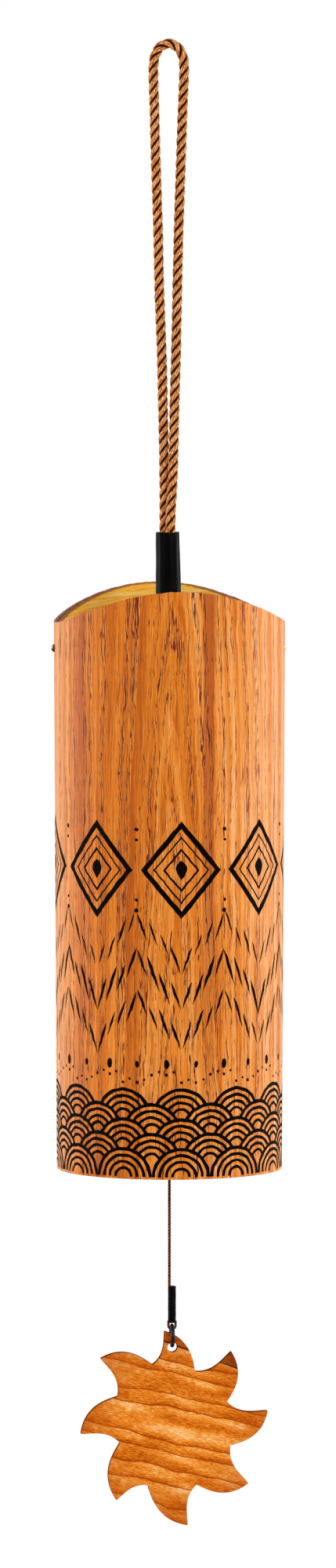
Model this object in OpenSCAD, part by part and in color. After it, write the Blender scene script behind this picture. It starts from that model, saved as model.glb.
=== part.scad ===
// Hanging tube chime. A laminated wooden tube hangs on a rope loop. Inside it eight tuned rods
// stand on a round plate, and a disc on a cord swings among them. The cord leaves through the
// plate's hole and carries a wooden sun that catches the wind.
// The origin is the inside of the rope loop's crown, where a hook takes the weight.
// X runs along the crossbar, Y is the depth and Z is up.

/* [Tube] */
// Outside diameter of the tube at its bottom
tube_d = 65; // [60:0.5:72]
// How much wider the tube is at the top rim's low points than at its bottom
tube_flare = 1.6; // [0:0.1:2]
// Height of the tube's side, from its bottom to the low points of the top rim
tube_side_h = 158; // [150:0.5:170]
// How far the top rim rises at the front and the back
rim_rise = 10; // [5:0.5:14]
// Thickness of the outer veneer
veneer_t = 0.7; // [0.5:0.1:1]
// Thickness of the inner plies
ply_t = 1.8; // [1.4:0.1:2.2]

/* [Rope] */
// Diameter of the rope
rope_d = 2.85; // [2.6:0.05:3.1]
// Drop from the rope's crown to the sleeve's top
sleeve_drop = 138.5; // [136:0.5:142]
// Length of the rope's sleeve
sleeve_len = 25.5; // [22:0.5:30]
// Outside diameter of the rope's sleeve
sleeve_d = 7.2; // [7:0.1:8]
// Wall of the rope's sleeve
sleeve_wall = 0.5; // [0.4:0.05:0.6]

/* [Crossbar] */
// Diameter of the crossbar
bar_d = 5; // [4.5:0.1:5.5]
// Distance from the sleeve's bottom to the crossbar's axis
bar_below_sleeve = 7.7; // [7.2:0.1:9]
// Distance from the rim's low points down to the crossbar's axis
bar_below_rim = 7.6; // [6:0.1:12]
// Diameter of each pin's shank
pin_d = 1.2; // [1:0.1:1.6]
// Length of each pin under its head
pin_len = 9; // [7:0.5:12]
// Diameter of each pin's head
pin_head_d = 2.4; // [2.2:0.1:3]
// Height of each pin's head
pin_head_h = 1; // [0.8:0.1:1.3]

/* [Plate and rods] */
// Thickness of the base plate
plate_t = 3; // [2.5:0.1:4]
// Depth of the base plate's lower face above the tube's bottom rim
plate_recess = 5; // [4:0.5:7]
// Diameter of the hole that the cord hangs through
plate_hole_d = 20; // [19:0.5:22]
// Width of the ring that the plate seats against
seat_w = 3; // [2:0.1:3.5]
// Height of the ring that the plate seats against
seat_h = 5; // [3:0.5:8]
// Size of the resin bead under the plate's edge
bond_w = 2; // [1.5:0.1:2.5]
// Distance from the tube's bore to the rods' axes
rod_inset = 8; // [7:0.5:8.5]
// Diameter of each rod
rod_d = 3.5; // [3:0.1:3.8]
// Length of the longest rod above the plate
rod_len = 112; // [105:0.5:116]
// Size of the brazed fillet round each rod's foot
braze_w = 0.9; // [0.6:0.1:1.2]

/* [Clapper] */
// Diameter of the thin cord
cord_d = 0.9; // [0.7:0.05:1]
// Gap between the hanging clapper disc and the rods
disc_gap = 5.25; // [5.25:0.05:7.25]
// Thickness of the clapper disc
disc_t = 5; // [4:0.5:7]
// Drop from the crossbar's axis to the clapper disc's middle
disc_drop = 103; // [98:0.5:108]
// Drop from the crossbar's axis to the yoke's knot
yoke_drop = 10.5; // [10:0.1:12]
// Diameter of the knots on the thin cord
knot_d = 2.6; // [2.5:0.1:3]
// Distance of each of the yoke's turns from the middle of the crossbar
yoke_half_w = 2.4; // [2.3:0.1:3]

/* [Wind sail] */
// Length of the cord from the plate's lower face to the tail's sleeve
tail_drop = 39.6; // [34:0.1:46]
// Length of the tail's sleeve
tail_sleeve_len = 10.6; // [8:0.1:14]
// Outside diameter of the tail's sleeve
tail_sleeve_d = 2.4; // [2.3:0.1:2.6]
// Diameter of the cord where it is drawn thin in the tail's loop
loop_cord_d = 0.75; // [0.6:0.05:0.85]
// Height of the straight sides of the tail's loop
loop_leg_h = 0.85; // [0.8:0.05:1.5]
// Mean diameter of the link ring
link_d = 5.8; // [5.6:0.1:6.6]
// Thickness of the link ring's wire
link_wire = 1.15; // [0.95:0.05:1.2]
// Distance from the sail's centre to the tips of its rays
sail_tip_r = 28.2; // [27:0.1:32]
// Distance from the sail's centre to the valleys between its rays
sail_valley_r = 17.8; // [16:0.1:20]
// Thickness of the sail
sail_t = 2.6; // [2:0.1:2.7]
// Diameter of the hole in the sail
sail_hole_d = 2.9; // [2.8:0.1:3.2]

/* [Hidden] */

// Smoothness of turned pieces
$fn = 96;
// How far a cut runs past what it cuts
overrun = 2;
// Running clearance between pieces that turn on each other
run_gap = 0.1;
// Clearance between cord ends that bend on each other
bend_gap = 0.5;
// Clearance between the link ring and the edge of the sail's hole
hang_gap = 0.15;

// Heights, from the rope's crown down
sleeve_top_z = -sleeve_drop;
sleeve_bottom_z = sleeve_top_z - sleeve_len;
bar_z = sleeve_bottom_z - bar_below_sleeve;
rim_low_z = bar_z + bar_below_rim;
tube_bottom_z = rim_low_z - tube_side_h;
plate_bottom_z = tube_bottom_z + plate_recess;
plate_top_z = plate_bottom_z + plate_t;
disc_z = bar_z - disc_drop;
yoke_z = bar_z - yoke_drop;

// Radii of the tube's walls at its bottom
tube_r = tube_d / 2;
ply_r = tube_r - veneer_t;
bore_r = ply_r - ply_t;
// How much a wall's radius has grown at a height above the tube's bottom
function widening(height) = tube_flare / 2 * height / tube_side_h;
// The tube's outer radius where the crossbar's pins go through it
bar_height = bar_z - tube_bottom_z;
pin_wall_r = tube_r + widening(bar_height);

// Radii of the circle that the rods stand on and of the disc inside it
rod_circle_r = bore_r - rod_inset;
disc_r = rod_circle_r - rod_d / 2 - disc_gap;

// The rope's route along its middle, up the left leg, over the crown and down the right leg
rope_route = [[-1.3, 1.37, -138.5], [-1.3, 1.3, -133], [-1.4, 1, -121], [-1.8, 0.6, -103],
    [-2.2, 0.25, -87], [-2.9, 0, -69], [-3.3, 0, -51], [-3.9, 0, -33], [-4.3, 0, -18],
    [-4.6, 0, -8], [-4.5, 0, -4], [-4, 0, -1.6], [-2.9, 0, 0.3], [-1.6, 0, 1.2],
    [-0.3, 0, 1.5], [1.2, 0, 1.2], [2.5, 0, 0.3], [3.7, 0, -1.6], [4.2, 0, -4],
    [4.2, 0, -8], [3.8, 0, -18], [3.3, 0, -33], [2.7, 0, -51], [2.3, 0, -69],
    [1.9, -0.25, -87], [1.4, -0.6, -103], [0.95, -1, -121], [0.3, -1.3, -133],
    [0.15, -1.37, -138.5]];
// Sides of a cord's tube
cord_sides = 8;
// Distance between a cord's rings, in diameters
ring_pitch_share = 3;
// Distance between the rings of a straight cord, in diameters
straight_pitch_share = 5;

// The sleeve leans a little to the left as the rope pulls it
rope_lean_angle = 1;

// The rope's two legs turn round each other inside the sleeve
leg_r = 1.55;
leg_top_turn = -62;
leg_bottom_turn = -90;
leg_steps = 5;
bight_steps = 8;
bight_r = bar_d / 2 + rope_d / 2 + run_gap;

// The top rim's cutter
rim_steps = 72;
rim_overlap = 3;

// Each rod's pitch as a share of the lowest one, in the order in which the rods stand
pitch_shares = [1, 2, 4 / 3, 8 / 3, 5 / 3, 10 / 3, 16 / 9, 4];
rod_count = len(pitch_shares);

// The yoke's two turns round the crossbar
yoke_turn_r = bar_d / 2 + cord_d / 2 + run_gap;
yoke_elbow_z = bar_z - bight_r - rope_d / 2 - cord_d;
yoke_leg_share = 0.6;
yoke_steps = 8;
yoke_wrap = 220;

// The cord bends just inside the plate's hole and again at the plate's lower face
bend_top_z = plate_top_z - bend_gap;
bend_bottom_z = plate_bottom_z - bend_gap;

// The tail's sleeve grips the cord at its left and the cord's turned-back end at its right
tail_sleeve_top_z = plate_bottom_z - tail_drop;
tail_sleeve_bottom_z = tail_sleeve_top_z - tail_sleeve_len;
tail_x = (tail_sleeve_d - cord_d) / 2;
tail_gap = 0.3;

// The link ring's wire lies in the round end of the cord's loop, and the sail hangs on the ring
loop_half_w = link_wire / 2 + run_gap + loop_cord_d / 2;
loop_turn_z = tail_sleeve_bottom_z - loop_leg_h;
link_r = link_d / 2;
link_z = loop_turn_z - link_r;
link_low_z = link_z - link_r;
// How much higher the ring's wire lies at the sail's faces than in the sail's middle
link_rise = link_r - sqrt(pow(link_r, 2) - pow(sail_t / 2, 2));
sail_hole_z = link_low_z + link_rise + link_wire / 2 + hang_gap - sail_hole_d / 2;

// The sun's rays, which are cut by hand and so are not quite alike. Both lists start at the top
// ray and go round to the left.
ray_turn = 88.4;
tip_shares = [0.97, 1.03, 0.97, 0.98, 1.05, 0.98, 0.97, 0.95];
tip_turns = [7.6, 4.4, 6.4, 8.6, 8.9, 7.6, 9.2, 8.4];
// The valley before each ray
valley_shares = [0.93, 1.05, 1.04, 0.94, 1.08, 1.05, 0.98, 0.93];
valley_turns = [3, -1, -3, -3, 0, -1, 3, 2];
ray_count = len(tip_shares);
ray_steps = 8;
// How far a ray's two sides bow, and where each bow is fullest, as shares of their lengths
bow_out_share = 0.17;
bow_in_share = -0.13;
bow_out_place_share = 0.53;
bow_in_place_share = 0.59;
// The hole's place, as shares of the tips' radius from the sail's centre
hole_x_share = -0.024;
hole_z_share = 0.8;

// A point on a smooth curve through b and c
function curve_point(a, b, c, d, t) =
    0.5 * (2 * b + (c - a) * t + (2 * a - 5 * b + 4 * c - d) * pow(t, 2)
    + (3 * b - a - 3 * c + d) * pow(t, 3));

// A list's item, with the first or last item past its ends
function item(list, i) = list[min(max(i, 0), len(list) - 1)];

// A smooth path through a route's points, with a point about every pitch
function smooth_path(route, pitch) = concat([for (i = [0:len(route) - 2])
    let (steps = max(1, round(norm(route[i + 1] - route[i]) / pitch)))
    for (k = [0:steps - 1])
    curve_point(item(route, i - 1), route[i], route[i + 1], item(route, i + 2), k / steps)],
    [route[len(route) - 1]]);

function unit(v) = v / norm(v);

// The direction of a path at one of its points
function along(path, i) = unit(item(path, i + 1) - item(path, i - 1));

// The corners of a path's tube, ring by ring, turned about one fixed direction
function rings(path, r, sides, fixed) = [for (i = [0:len(path) - 1])
    let (t = along(path, i), u = unit(cross(fixed, t)), v = cross(t, u))
    for (k = [0:sides - 1])
    path[i] + r * (cos(360 * (k + 0.5) / sides) * u + sin(360 * (k + 0.5) / sides) * v)];

// The triangles between a tube's rings
function ring_faces(count, sides) = [for (i = [0:count - 2]) for (k = [0:sides - 1])
    let (a = i * sides + k, b = i * sides + (k + 1) % sides)
    each [[a, a + sides, b + sides], [a, b + sides, b]]];

// A cord's tube along a path
module cord_tube(path, d, fixed) {
    count = len(path);
    first = [for (k = [0:cord_sides - 1]) k];
    last = [for (k = [cord_sides - 1:-1:0]) (count - 1) * cord_sides + k];
    polyhedron(rings(path, d / 2, cord_sides, fixed),
        concat(ring_faces(count, cord_sides), [first, last]), convexity = 6);
}

// A straight cord down the middle, from one height to another
module straight_cord(from_z, to_z) {
    cord_tube(smooth_path([[0, 0, from_z], [0, 0, to_z]], cord_d * straight_pitch_share),
        cord_d, [0, 1, 0]);
}

// Lies along X, centred
module along_x(h, d) {
    rotate([0, 90, 0]) cylinder(h = h, d = d, center = true);
}

// Eight places on the rods' circle
function rod_angle(i) = (i + 0.5) * 360 / rod_count;

module at_rod(i) {
    rotate(rod_angle(i)) translate([rod_circle_r, 0, 0]) children();
}

module hanging_rope() {
    color("peru")
        cord_tube(smooth_path(rope_route, rope_d * ring_pitch_share), rope_d, [0, 1, 0]);
}

// Leans to the left about the crossbar
module leaning() {
    translate([0, 0, bar_z]) rotate([0, -rope_lean_angle, 0]) translate([0, 0, -bar_z]) children();
}

// The shrink sleeve round both legs of the rope
module rope_sleeve() {
    color("black")
        leaning()
        translate([0, 0, sleeve_bottom_z])
        difference() {
            cylinder(h = sleeve_len, d = sleeve_d);
            translate([0, 0, -overrun])
                cylinder(h = sleeve_len + 2 * overrun, d = sleeve_d - 2 * sleeve_wall);
        }
}

// One leg of the rope inside the sleeve, from its top down
function leg_path(side) = [for (i = [0:leg_steps])
    let (s = i / leg_steps, turn = leg_top_turn + s * (leg_bottom_turn - leg_top_turn))
    [side * leg_r * cos(turn), side * leg_r * sin(turn), sleeve_top_z - s * sleeve_len]];

function reversed(list) = [for (i = [len(list) - 1:-1:0]) list[i]];

// The rope's legs inside the sleeve and its turn round the crossbar
module rope_bight() {
    turn = [for (i = [0:bight_steps])
        let (a = 180 * i / bight_steps)
        [0, -bight_r * cos(a), bar_z - bight_r * sin(a)]];
    color("peru")
        leaning()
        cord_tube(concat(leg_path(1), turn, reversed(leg_path(-1))), rope_d, [1, 0, 0]);
}

// What lies above the wavy top rim. At each angle the rim is level from inside to outside.
module above_rim() {
    inside = bore_r - rim_overlap;
    outside = tube_r + tube_flare + rim_overlap;
    top_z = rim_low_z + rim_rise + rim_overlap;
    corners = [for (i = [0:rim_steps - 1])
        let (a = 360 * i / rim_steps, z = rim_low_z + rim_rise * pow(sin(a), 2))
        each [[inside * cos(a), inside * sin(a), z], [outside * cos(a), outside * sin(a), z],
            [outside * cos(a), outside * sin(a), top_z], [inside * cos(a), inside * sin(a), top_z]]];
    sides = [for (i = [0:rim_steps - 1]) for (k = [0:3])
        let (a = 4 * i + k, b = 4 * i + (k + 1) % 4, n = 4 * ((i + 1) % rim_steps))
        each [[a, b, n + (k + 1) % 4], [a, n + (k + 1) % 4, n + k]]];
    polyhedron(corners, sides, convexity = 4);
}

// A slice of the tube's cone between two heights above its bottom, with a radius at the bottom
module cone_slice(r, from, to) {
    translate([0, 0, tube_bottom_z + from])
        cylinder(h = to - from, r1 = r + widening(from), r2 = r + widening(to));
}

// A wall of the tube between two radii, with the wavy top rim and the pins' holes
module tube_wall(outer_r, inner_r) {
    difference() {
        cone_slice(outer_r, 0, tube_side_h + rim_rise);
        cone_slice(inner_r, -overrun, tube_side_h + rim_rise + overrun);
        above_rim();
        translate([0, 0, bar_z]) along_x(2 * (pin_wall_r + overrun), pin_d);
    }
}

module outer_veneer() {
    color("peru") tube_wall(tube_r, ply_r);
}

module inner_ply() {
    color("goldenrod") tube_wall(ply_r, bore_r);
}

// The dowel across the tube. Its ends follow the bore, and each has a hole for its pin.
module crossbar() {
    color("burlywood")
        difference() {
            intersection() {
                translate([0, 0, bar_z]) along_x(2 * pin_wall_r, bar_d);
                cone_slice(bore_r, bar_height - bar_d, bar_height + bar_d);
            }
            for (side = [-1, 1])
                translate([side * pin_wall_r, 0, bar_z]) along_x(2 * pin_len, pin_d);
        }
}

// A pin through the tube's wall into the dowel, with a round head outside
module crossbar_pin(side) {
    head_r = (pow(pin_head_d / 2, 2) + pow(pin_head_h, 2)) / (2 * pin_head_h);
    color("dimgray") {
        translate([side * (pin_wall_r - pin_len / 2), 0, bar_z]) along_x(pin_len, pin_d);
        intersection() {
            translate([side * (pin_wall_r + pin_head_h - head_r), 0, bar_z]) sphere(r = head_r);
            translate([side * (pin_wall_r + pin_head_h / 2), 0, bar_z])
                along_x(pin_head_h, pin_head_d);
        }
    }
}

// The ring that the plate seats against
module plate_ring() {
    foot = plate_recess + plate_t;
    color("goldenrod")
        difference() {
            cone_slice(bore_r, foot, foot + seat_h);
            cone_slice(bore_r - seat_w, foot - overrun, foot + seat_h + overrun);
        }
}

// The round plate, with the cord's hole and a hole for each rod's foot
module base_plate() {
    color("silver")
        difference() {
            cone_slice(bore_r, plate_recess, plate_recess + plate_t);
            translate([0, 0, plate_bottom_z - overrun]) {
                cylinder(h = plate_t + 2 * overrun, d = plate_hole_d);
                for (i = [0:rod_count - 1])
                    at_rod(i) cylinder(h = plate_t + 2 * overrun, d = rod_d);
            }
        }
}

// The resin bead in the corner between the plate and the tube
module plate_bond() {
    color("khaki")
        translate([0, 0, plate_bottom_z])
        rotate_extrude()
        polygon([[bore_r + widening(plate_recess), 0], [bore_r - bond_w, 0],
            [bore_r + widening(plate_recess - bond_w), -bond_w]]);
}

// A rod's length above the plate falls with the square root of its pitch
function rod_height(i) = rod_len / sqrt(pitch_shares[i]);

// One rod. Its foot fills the plate's hole.
module chime_rod(i) {
    color("lightgray")
        at_rod(i)
        translate([0, 0, plate_bottom_z])
        cylinder(h = plate_t + rod_height(i), d = rod_d);
}

// The brazed fillets round the rods' feet
module braze_fillets() {
    rod_r = rod_d / 2;
    color("darkgoldenrod")
        for (i = [0:rod_count - 1])
            at_rod(i)
            translate([0, 0, plate_top_z])
            rotate_extrude()
            polygon([[rod_r, 0], [rod_r + braze_w, 0], [rod_r + braze_w / 4, braze_w / 4],
                [rod_r, braze_w]]);
}

// One turn of the thin cord: up from the knot, over the crossbar and down to the knot again
function yoke_path(side) =
    let (x = side * yoke_half_w, y = yoke_leg_share * cord_d)
    concat([[side * y, -y, yoke_z], [x, -y, yoke_elbow_z]],
        [for (i = [0:yoke_steps])
            let (a = 90 + yoke_wrap / 2 - yoke_wrap * i / yoke_steps)
            [x, yoke_turn_r * cos(a), bar_z + yoke_turn_r * sin(a)]],
        [[x, y, yoke_elbow_z], [side * y, y, yoke_z]]);

// The thin cord's two turns round the crossbar, which meet in a knot below it
module clapper_yoke() {
    color("saddlebrown") {
        for (side = [-1, 1])
            cord_tube(yoke_path(side), cord_d, [1, 0, 0]);
        translate([0, 0, yoke_z]) sphere(d = knot_d, $fn = 24);
    }
}

module clapper_cord() {
    color("saddlebrown") straight_cord(yoke_z - knot_d / 2 - bend_gap, bend_top_z);
}

// The disc that strikes the rods, with rounded edges and a bore for the cord
module clapper_disc() {
    edge_r = disc_t / 2;
    color("burlywood")
        translate([0, 0, disc_z])
        difference() {
            union() {
                cylinder(h = disc_t, r = disc_r - edge_r, center = true);
                rotate_extrude()
                    translate([disc_r - edge_r, 0, 0])
                    intersection() {
                        circle(r = edge_r, $fn = 48);
                        translate([0, -edge_r, 0]) square([edge_r, disc_t]);
                    }
            }
            cylinder(h = disc_t + 2 * overrun, d = cord_d + 2 * run_gap, center = true);
        }
}

// The knot that the disc sits on
module clapper_knot() {
    color("saddlebrown")
        translate([0, 0, disc_z - disc_t / 2 - knot_d / 2])
        difference() {
            sphere(d = knot_d, $fn = 48);
            cylinder(h = knot_d + 2 * overrun, d = cord_d, center = true);
        }
}

module cord_bend() {
    color("saddlebrown") straight_cord(bend_top_z - bend_gap, bend_bottom_z + bend_gap);
}

module tail_cord() {
    color("saddlebrown") straight_cord(bend_bottom_z, tail_sleeve_top_z + tail_gap);
}

module tail_sleeve() {
    color("black")
        translate([tail_x, 0, tail_sleeve_bottom_z])
        cylinder(h = tail_sleeve_len, d = tail_sleeve_d);
}

// The cord's loop below the sleeve
module tail_loop() {
    color("saddlebrown")
        translate([tail_x, 0, loop_turn_z]) {
            for (side = [-1, 1])
                translate([side * loop_half_w, 0, 0])
                cylinder(h = loop_leg_h, d = loop_cord_d);
            rotate([90, 0, 0])
                rotate_extrude(angle = -180)
                translate([loop_half_w, 0, 0])
                circle(d = loop_cord_d, $fn = 24);
        }
}

module link_ring() {
    color("black")
        translate([tail_x, 0, link_z])
        rotate([0, 90, 0])
        rotate_extrude()
        translate([link_r, 0, 0])
        circle(d = link_wire, $fn = 32);
}

// A point of a ray's side, which goes from one corner to the other and bows to its right, most
// at one place
function bowed(from, to, bow, place, s) =
    let (across = [to.y - from.y, from.x - to.x], u = pow(s, ln(0.5) / ln(place)))
    from + s * (to - from) + 4 * bow * u * (1 - u) * across;

function polar(r, a) = [r * cos(a), r * sin(a)];

// The middle angle of a ray
function ray_angle(i) = ray_turn + i * 360 / ray_count;

function ray_tip(i) = polar(sail_tip_r * tip_shares[i], ray_angle(i) + tip_turns[i]);

// The valley before a ray
function ray_valley(i) = polar(sail_valley_r * valley_shares[i],
    ray_angle(i - 0.5) + valley_turns[i]);

// The sun's outline, ray by ray: a full side up to the tip and a hollow side down from it
function sun_outline() = [for (i = [0:ray_count - 1])
    let (foot = ray_valley(i), tip = ray_tip(i), next = ray_valley((i + 1) % ray_count))
    each concat(
        [for (k = [0:ray_steps - 1])
            bowed(foot, tip, bow_out_share, bow_out_place_share, k / ray_steps)],
        [for (k = [0:ray_steps - 1])
            bowed(tip, next, bow_in_share, bow_in_place_share, k / ray_steps)])];

// The wooden sun. Its hole hangs on the link ring.
module wind_sail() {
    hole = [hole_x_share * sail_tip_r, hole_z_share * sail_tip_r];
    color("chocolate")
        translate([tail_x - hole.x, 0, sail_hole_z - hole.y])
        rotate([90, 0, 0])
        linear_extrude(sail_t, center = true)
        difference() {
            polygon(sun_outline());
            translate(hole) circle(d = sail_hole_d);
        }
}

hanging_rope();
rope_sleeve();
rope_bight();
outer_veneer();
inner_ply();
crossbar();
crossbar_pin(-1);  // crossbar_pin_left
crossbar_pin(1);  // crossbar_pin_right
plate_ring();
base_plate();
plate_bond();
chime_rod(0);  // chime_rod_1
chime_rod(1);  // chime_rod_2
chime_rod(2);  // chime_rod_3
chime_rod(3);  // chime_rod_4
chime_rod(4);  // chime_rod_5
chime_rod(5);  // chime_rod_6
chime_rod(6);  // chime_rod_7
chime_rod(7);  // chime_rod_8
braze_fillets();
clapper_yoke();
clapper_cord();
clapper_disc();
clapper_knot();
cord_bend();
tail_cord();
tail_sleeve();
tail_loop();
link_ring();
wind_sail();
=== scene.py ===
"""A hanging tube chime: a rope loop, a wooden tube with tuned rods inside and a sun for the wind.

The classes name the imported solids' places and sizes, in millimetres. They model what shows of each
piece, give it its finish and set the studio. The meshes are in metres.
"""

import logging
import math
from contextlib import contextmanager
from dataclasses import dataclass
from enum import Enum
from typing import Callable, Iterable, Iterator, Sequence

import bpy
import numpy as np
from mathutils import Matrix, Vector, noise


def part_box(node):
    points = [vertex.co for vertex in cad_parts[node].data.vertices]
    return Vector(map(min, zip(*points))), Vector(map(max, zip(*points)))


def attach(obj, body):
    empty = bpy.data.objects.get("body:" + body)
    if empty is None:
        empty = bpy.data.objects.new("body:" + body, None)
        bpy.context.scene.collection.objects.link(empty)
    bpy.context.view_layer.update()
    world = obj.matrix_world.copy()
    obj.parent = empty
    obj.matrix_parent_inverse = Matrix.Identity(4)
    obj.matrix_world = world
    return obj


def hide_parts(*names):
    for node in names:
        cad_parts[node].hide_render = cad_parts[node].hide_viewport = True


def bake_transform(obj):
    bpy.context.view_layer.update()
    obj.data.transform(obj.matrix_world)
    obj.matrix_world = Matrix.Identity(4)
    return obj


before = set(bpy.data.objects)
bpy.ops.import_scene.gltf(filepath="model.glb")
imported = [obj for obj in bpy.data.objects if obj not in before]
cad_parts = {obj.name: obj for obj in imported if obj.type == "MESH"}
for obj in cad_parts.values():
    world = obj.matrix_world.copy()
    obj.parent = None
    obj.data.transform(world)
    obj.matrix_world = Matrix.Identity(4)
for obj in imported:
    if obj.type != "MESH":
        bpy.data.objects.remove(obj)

LOG = logging.getLogger("tube_chime")
MM = 0.001
FULL_TURN = 2 * math.pi
# Points of one mesh that are nearer than this, in millimetres, are the same point.
DOUBLE_GAP = 0.002

Piece = bpy.types.Object
Socket = bpy.types.NodeSocket
Value = float | str | Sequence[float] | Socket
Triple = tuple[float, float, float]


class Side(Enum):
    """A side of the chime's middle."""

    LEFT = -1
    RIGHT = 1


class Node(Enum):
    """A kind of shader node: its type, and the option that makes it do this."""

    PLUS = ("Math", "operation", "ADD")
    MINUS = ("Math", "operation", "SUBTRACT")
    TIMES = ("Math", "operation", "MULTIPLY")
    OVER = ("Math", "operation", "DIVIDE")
    POWER = ("Math", "operation", "POWER")
    LARGER = ("Math", "operation", "MAXIMUM")
    SIZE = ("Math", "operation", "ABSOLUTE")
    ROOT = ("Math", "operation", "SQRT")
    SIGN = ("Math", "operation", "SIGN")
    FRACTION = ("Math", "operation", "FRACT")
    TURN = ("Math", "operation", "ARCTAN2")
    SHIFT = ("VectorMath", "operation", "ADD")
    STRETCH = ("VectorMath", "operation", "MULTIPLY")
    LENGTH = ("VectorMath", "operation", "LENGTH")
    MIX = ("Mix", "data_type", "RGBA")
    NOISE = ("TexNoise", "noise_dimensions", "3D")
    LAYERS = ("TexNoise", "noise_dimensions", "1D")
    BUBBLES = ("TexVoronoi",)
    RANGE = ("MapRange",)
    RAMP = ("ValToRGB",)
    JOIN = ("CombineXYZ",)
    SPLIT = ("SeparateXYZ",)
    MAPPING = ("Mapping",)
    PLACE = ("TexCoord",)
    OWN_MAP = ("UVMap",)
    SURFACE = ("NewGeometry",)
    RAYS = ("LightPath",)
    BUMP = ("Bump",)
    GLOW = ("Emission",)
    CLEAR = ("BsdfTransparent",)
    EITHER = ("MixShader",)
    LIGHT = ("Background",)
    ROOM = ("OutputWorld",)


def paint(code: str) -> tuple[float, float, float, float]:
    """Turns an sRGB hex colour to linear.

    Args:
        code: The colour, such as "#D5792B".

    Returns:
        The linear colour with an alpha of one.
    """
    shares = [int(code[i : i + 2], 16) / 255 for i in (1, 3, 5)]
    linear = [s / 12.92 if s <= 0.04045 else ((s + 0.055) / 1.055) ** 2.4 for s in shares]
    return (*linear, 1.0)


def spread(start: float, end: float, steps: int) -> list[float]:
    """Returns even steps from a start to an end, both included."""
    return [start + (end - start) * i / steps for i in range(steps + 1)]


def polar(reach: float, turn: float, z: float) -> Vector:
    """Returns the point at a distance from the Z axis, a turn round it and a height."""
    return Vector((reach * math.cos(turn), reach * math.sin(turn), z))


def wander(turn: float, waves: float, height: float) -> float:
    """Returns smooth noise from -1 to 1 that closes on itself round a turn."""
    return noise.noise(polar(waves, turn, height))


@dataclass(frozen=True)
class Heights:
    """The tube's main heights and radii."""

    bar: float = -171.7
    rim_low: float = -164.1
    rim_rise: float = 10.0
    foot: float = -322.1
    plate_top: float = -314.1
    plate_bottom: float = -317.1
    tube_r: float = 32.5
    flare: float = 0.8
    veneer: float = 0.7
    ply: float = 1.8

    def rim(self, turn: float) -> float:
        """Returns the rim's height at a turn from the X axis, highest at front and back."""
        return self.rim_low + self.rim_rise * math.sin(turn) ** 2

    def widening(self, z: float) -> float:
        """Returns how much the tube's radius has grown at a height."""
        return self.flare * (z - self.foot) / (self.rim_low - self.foot)


# Finishes


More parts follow.
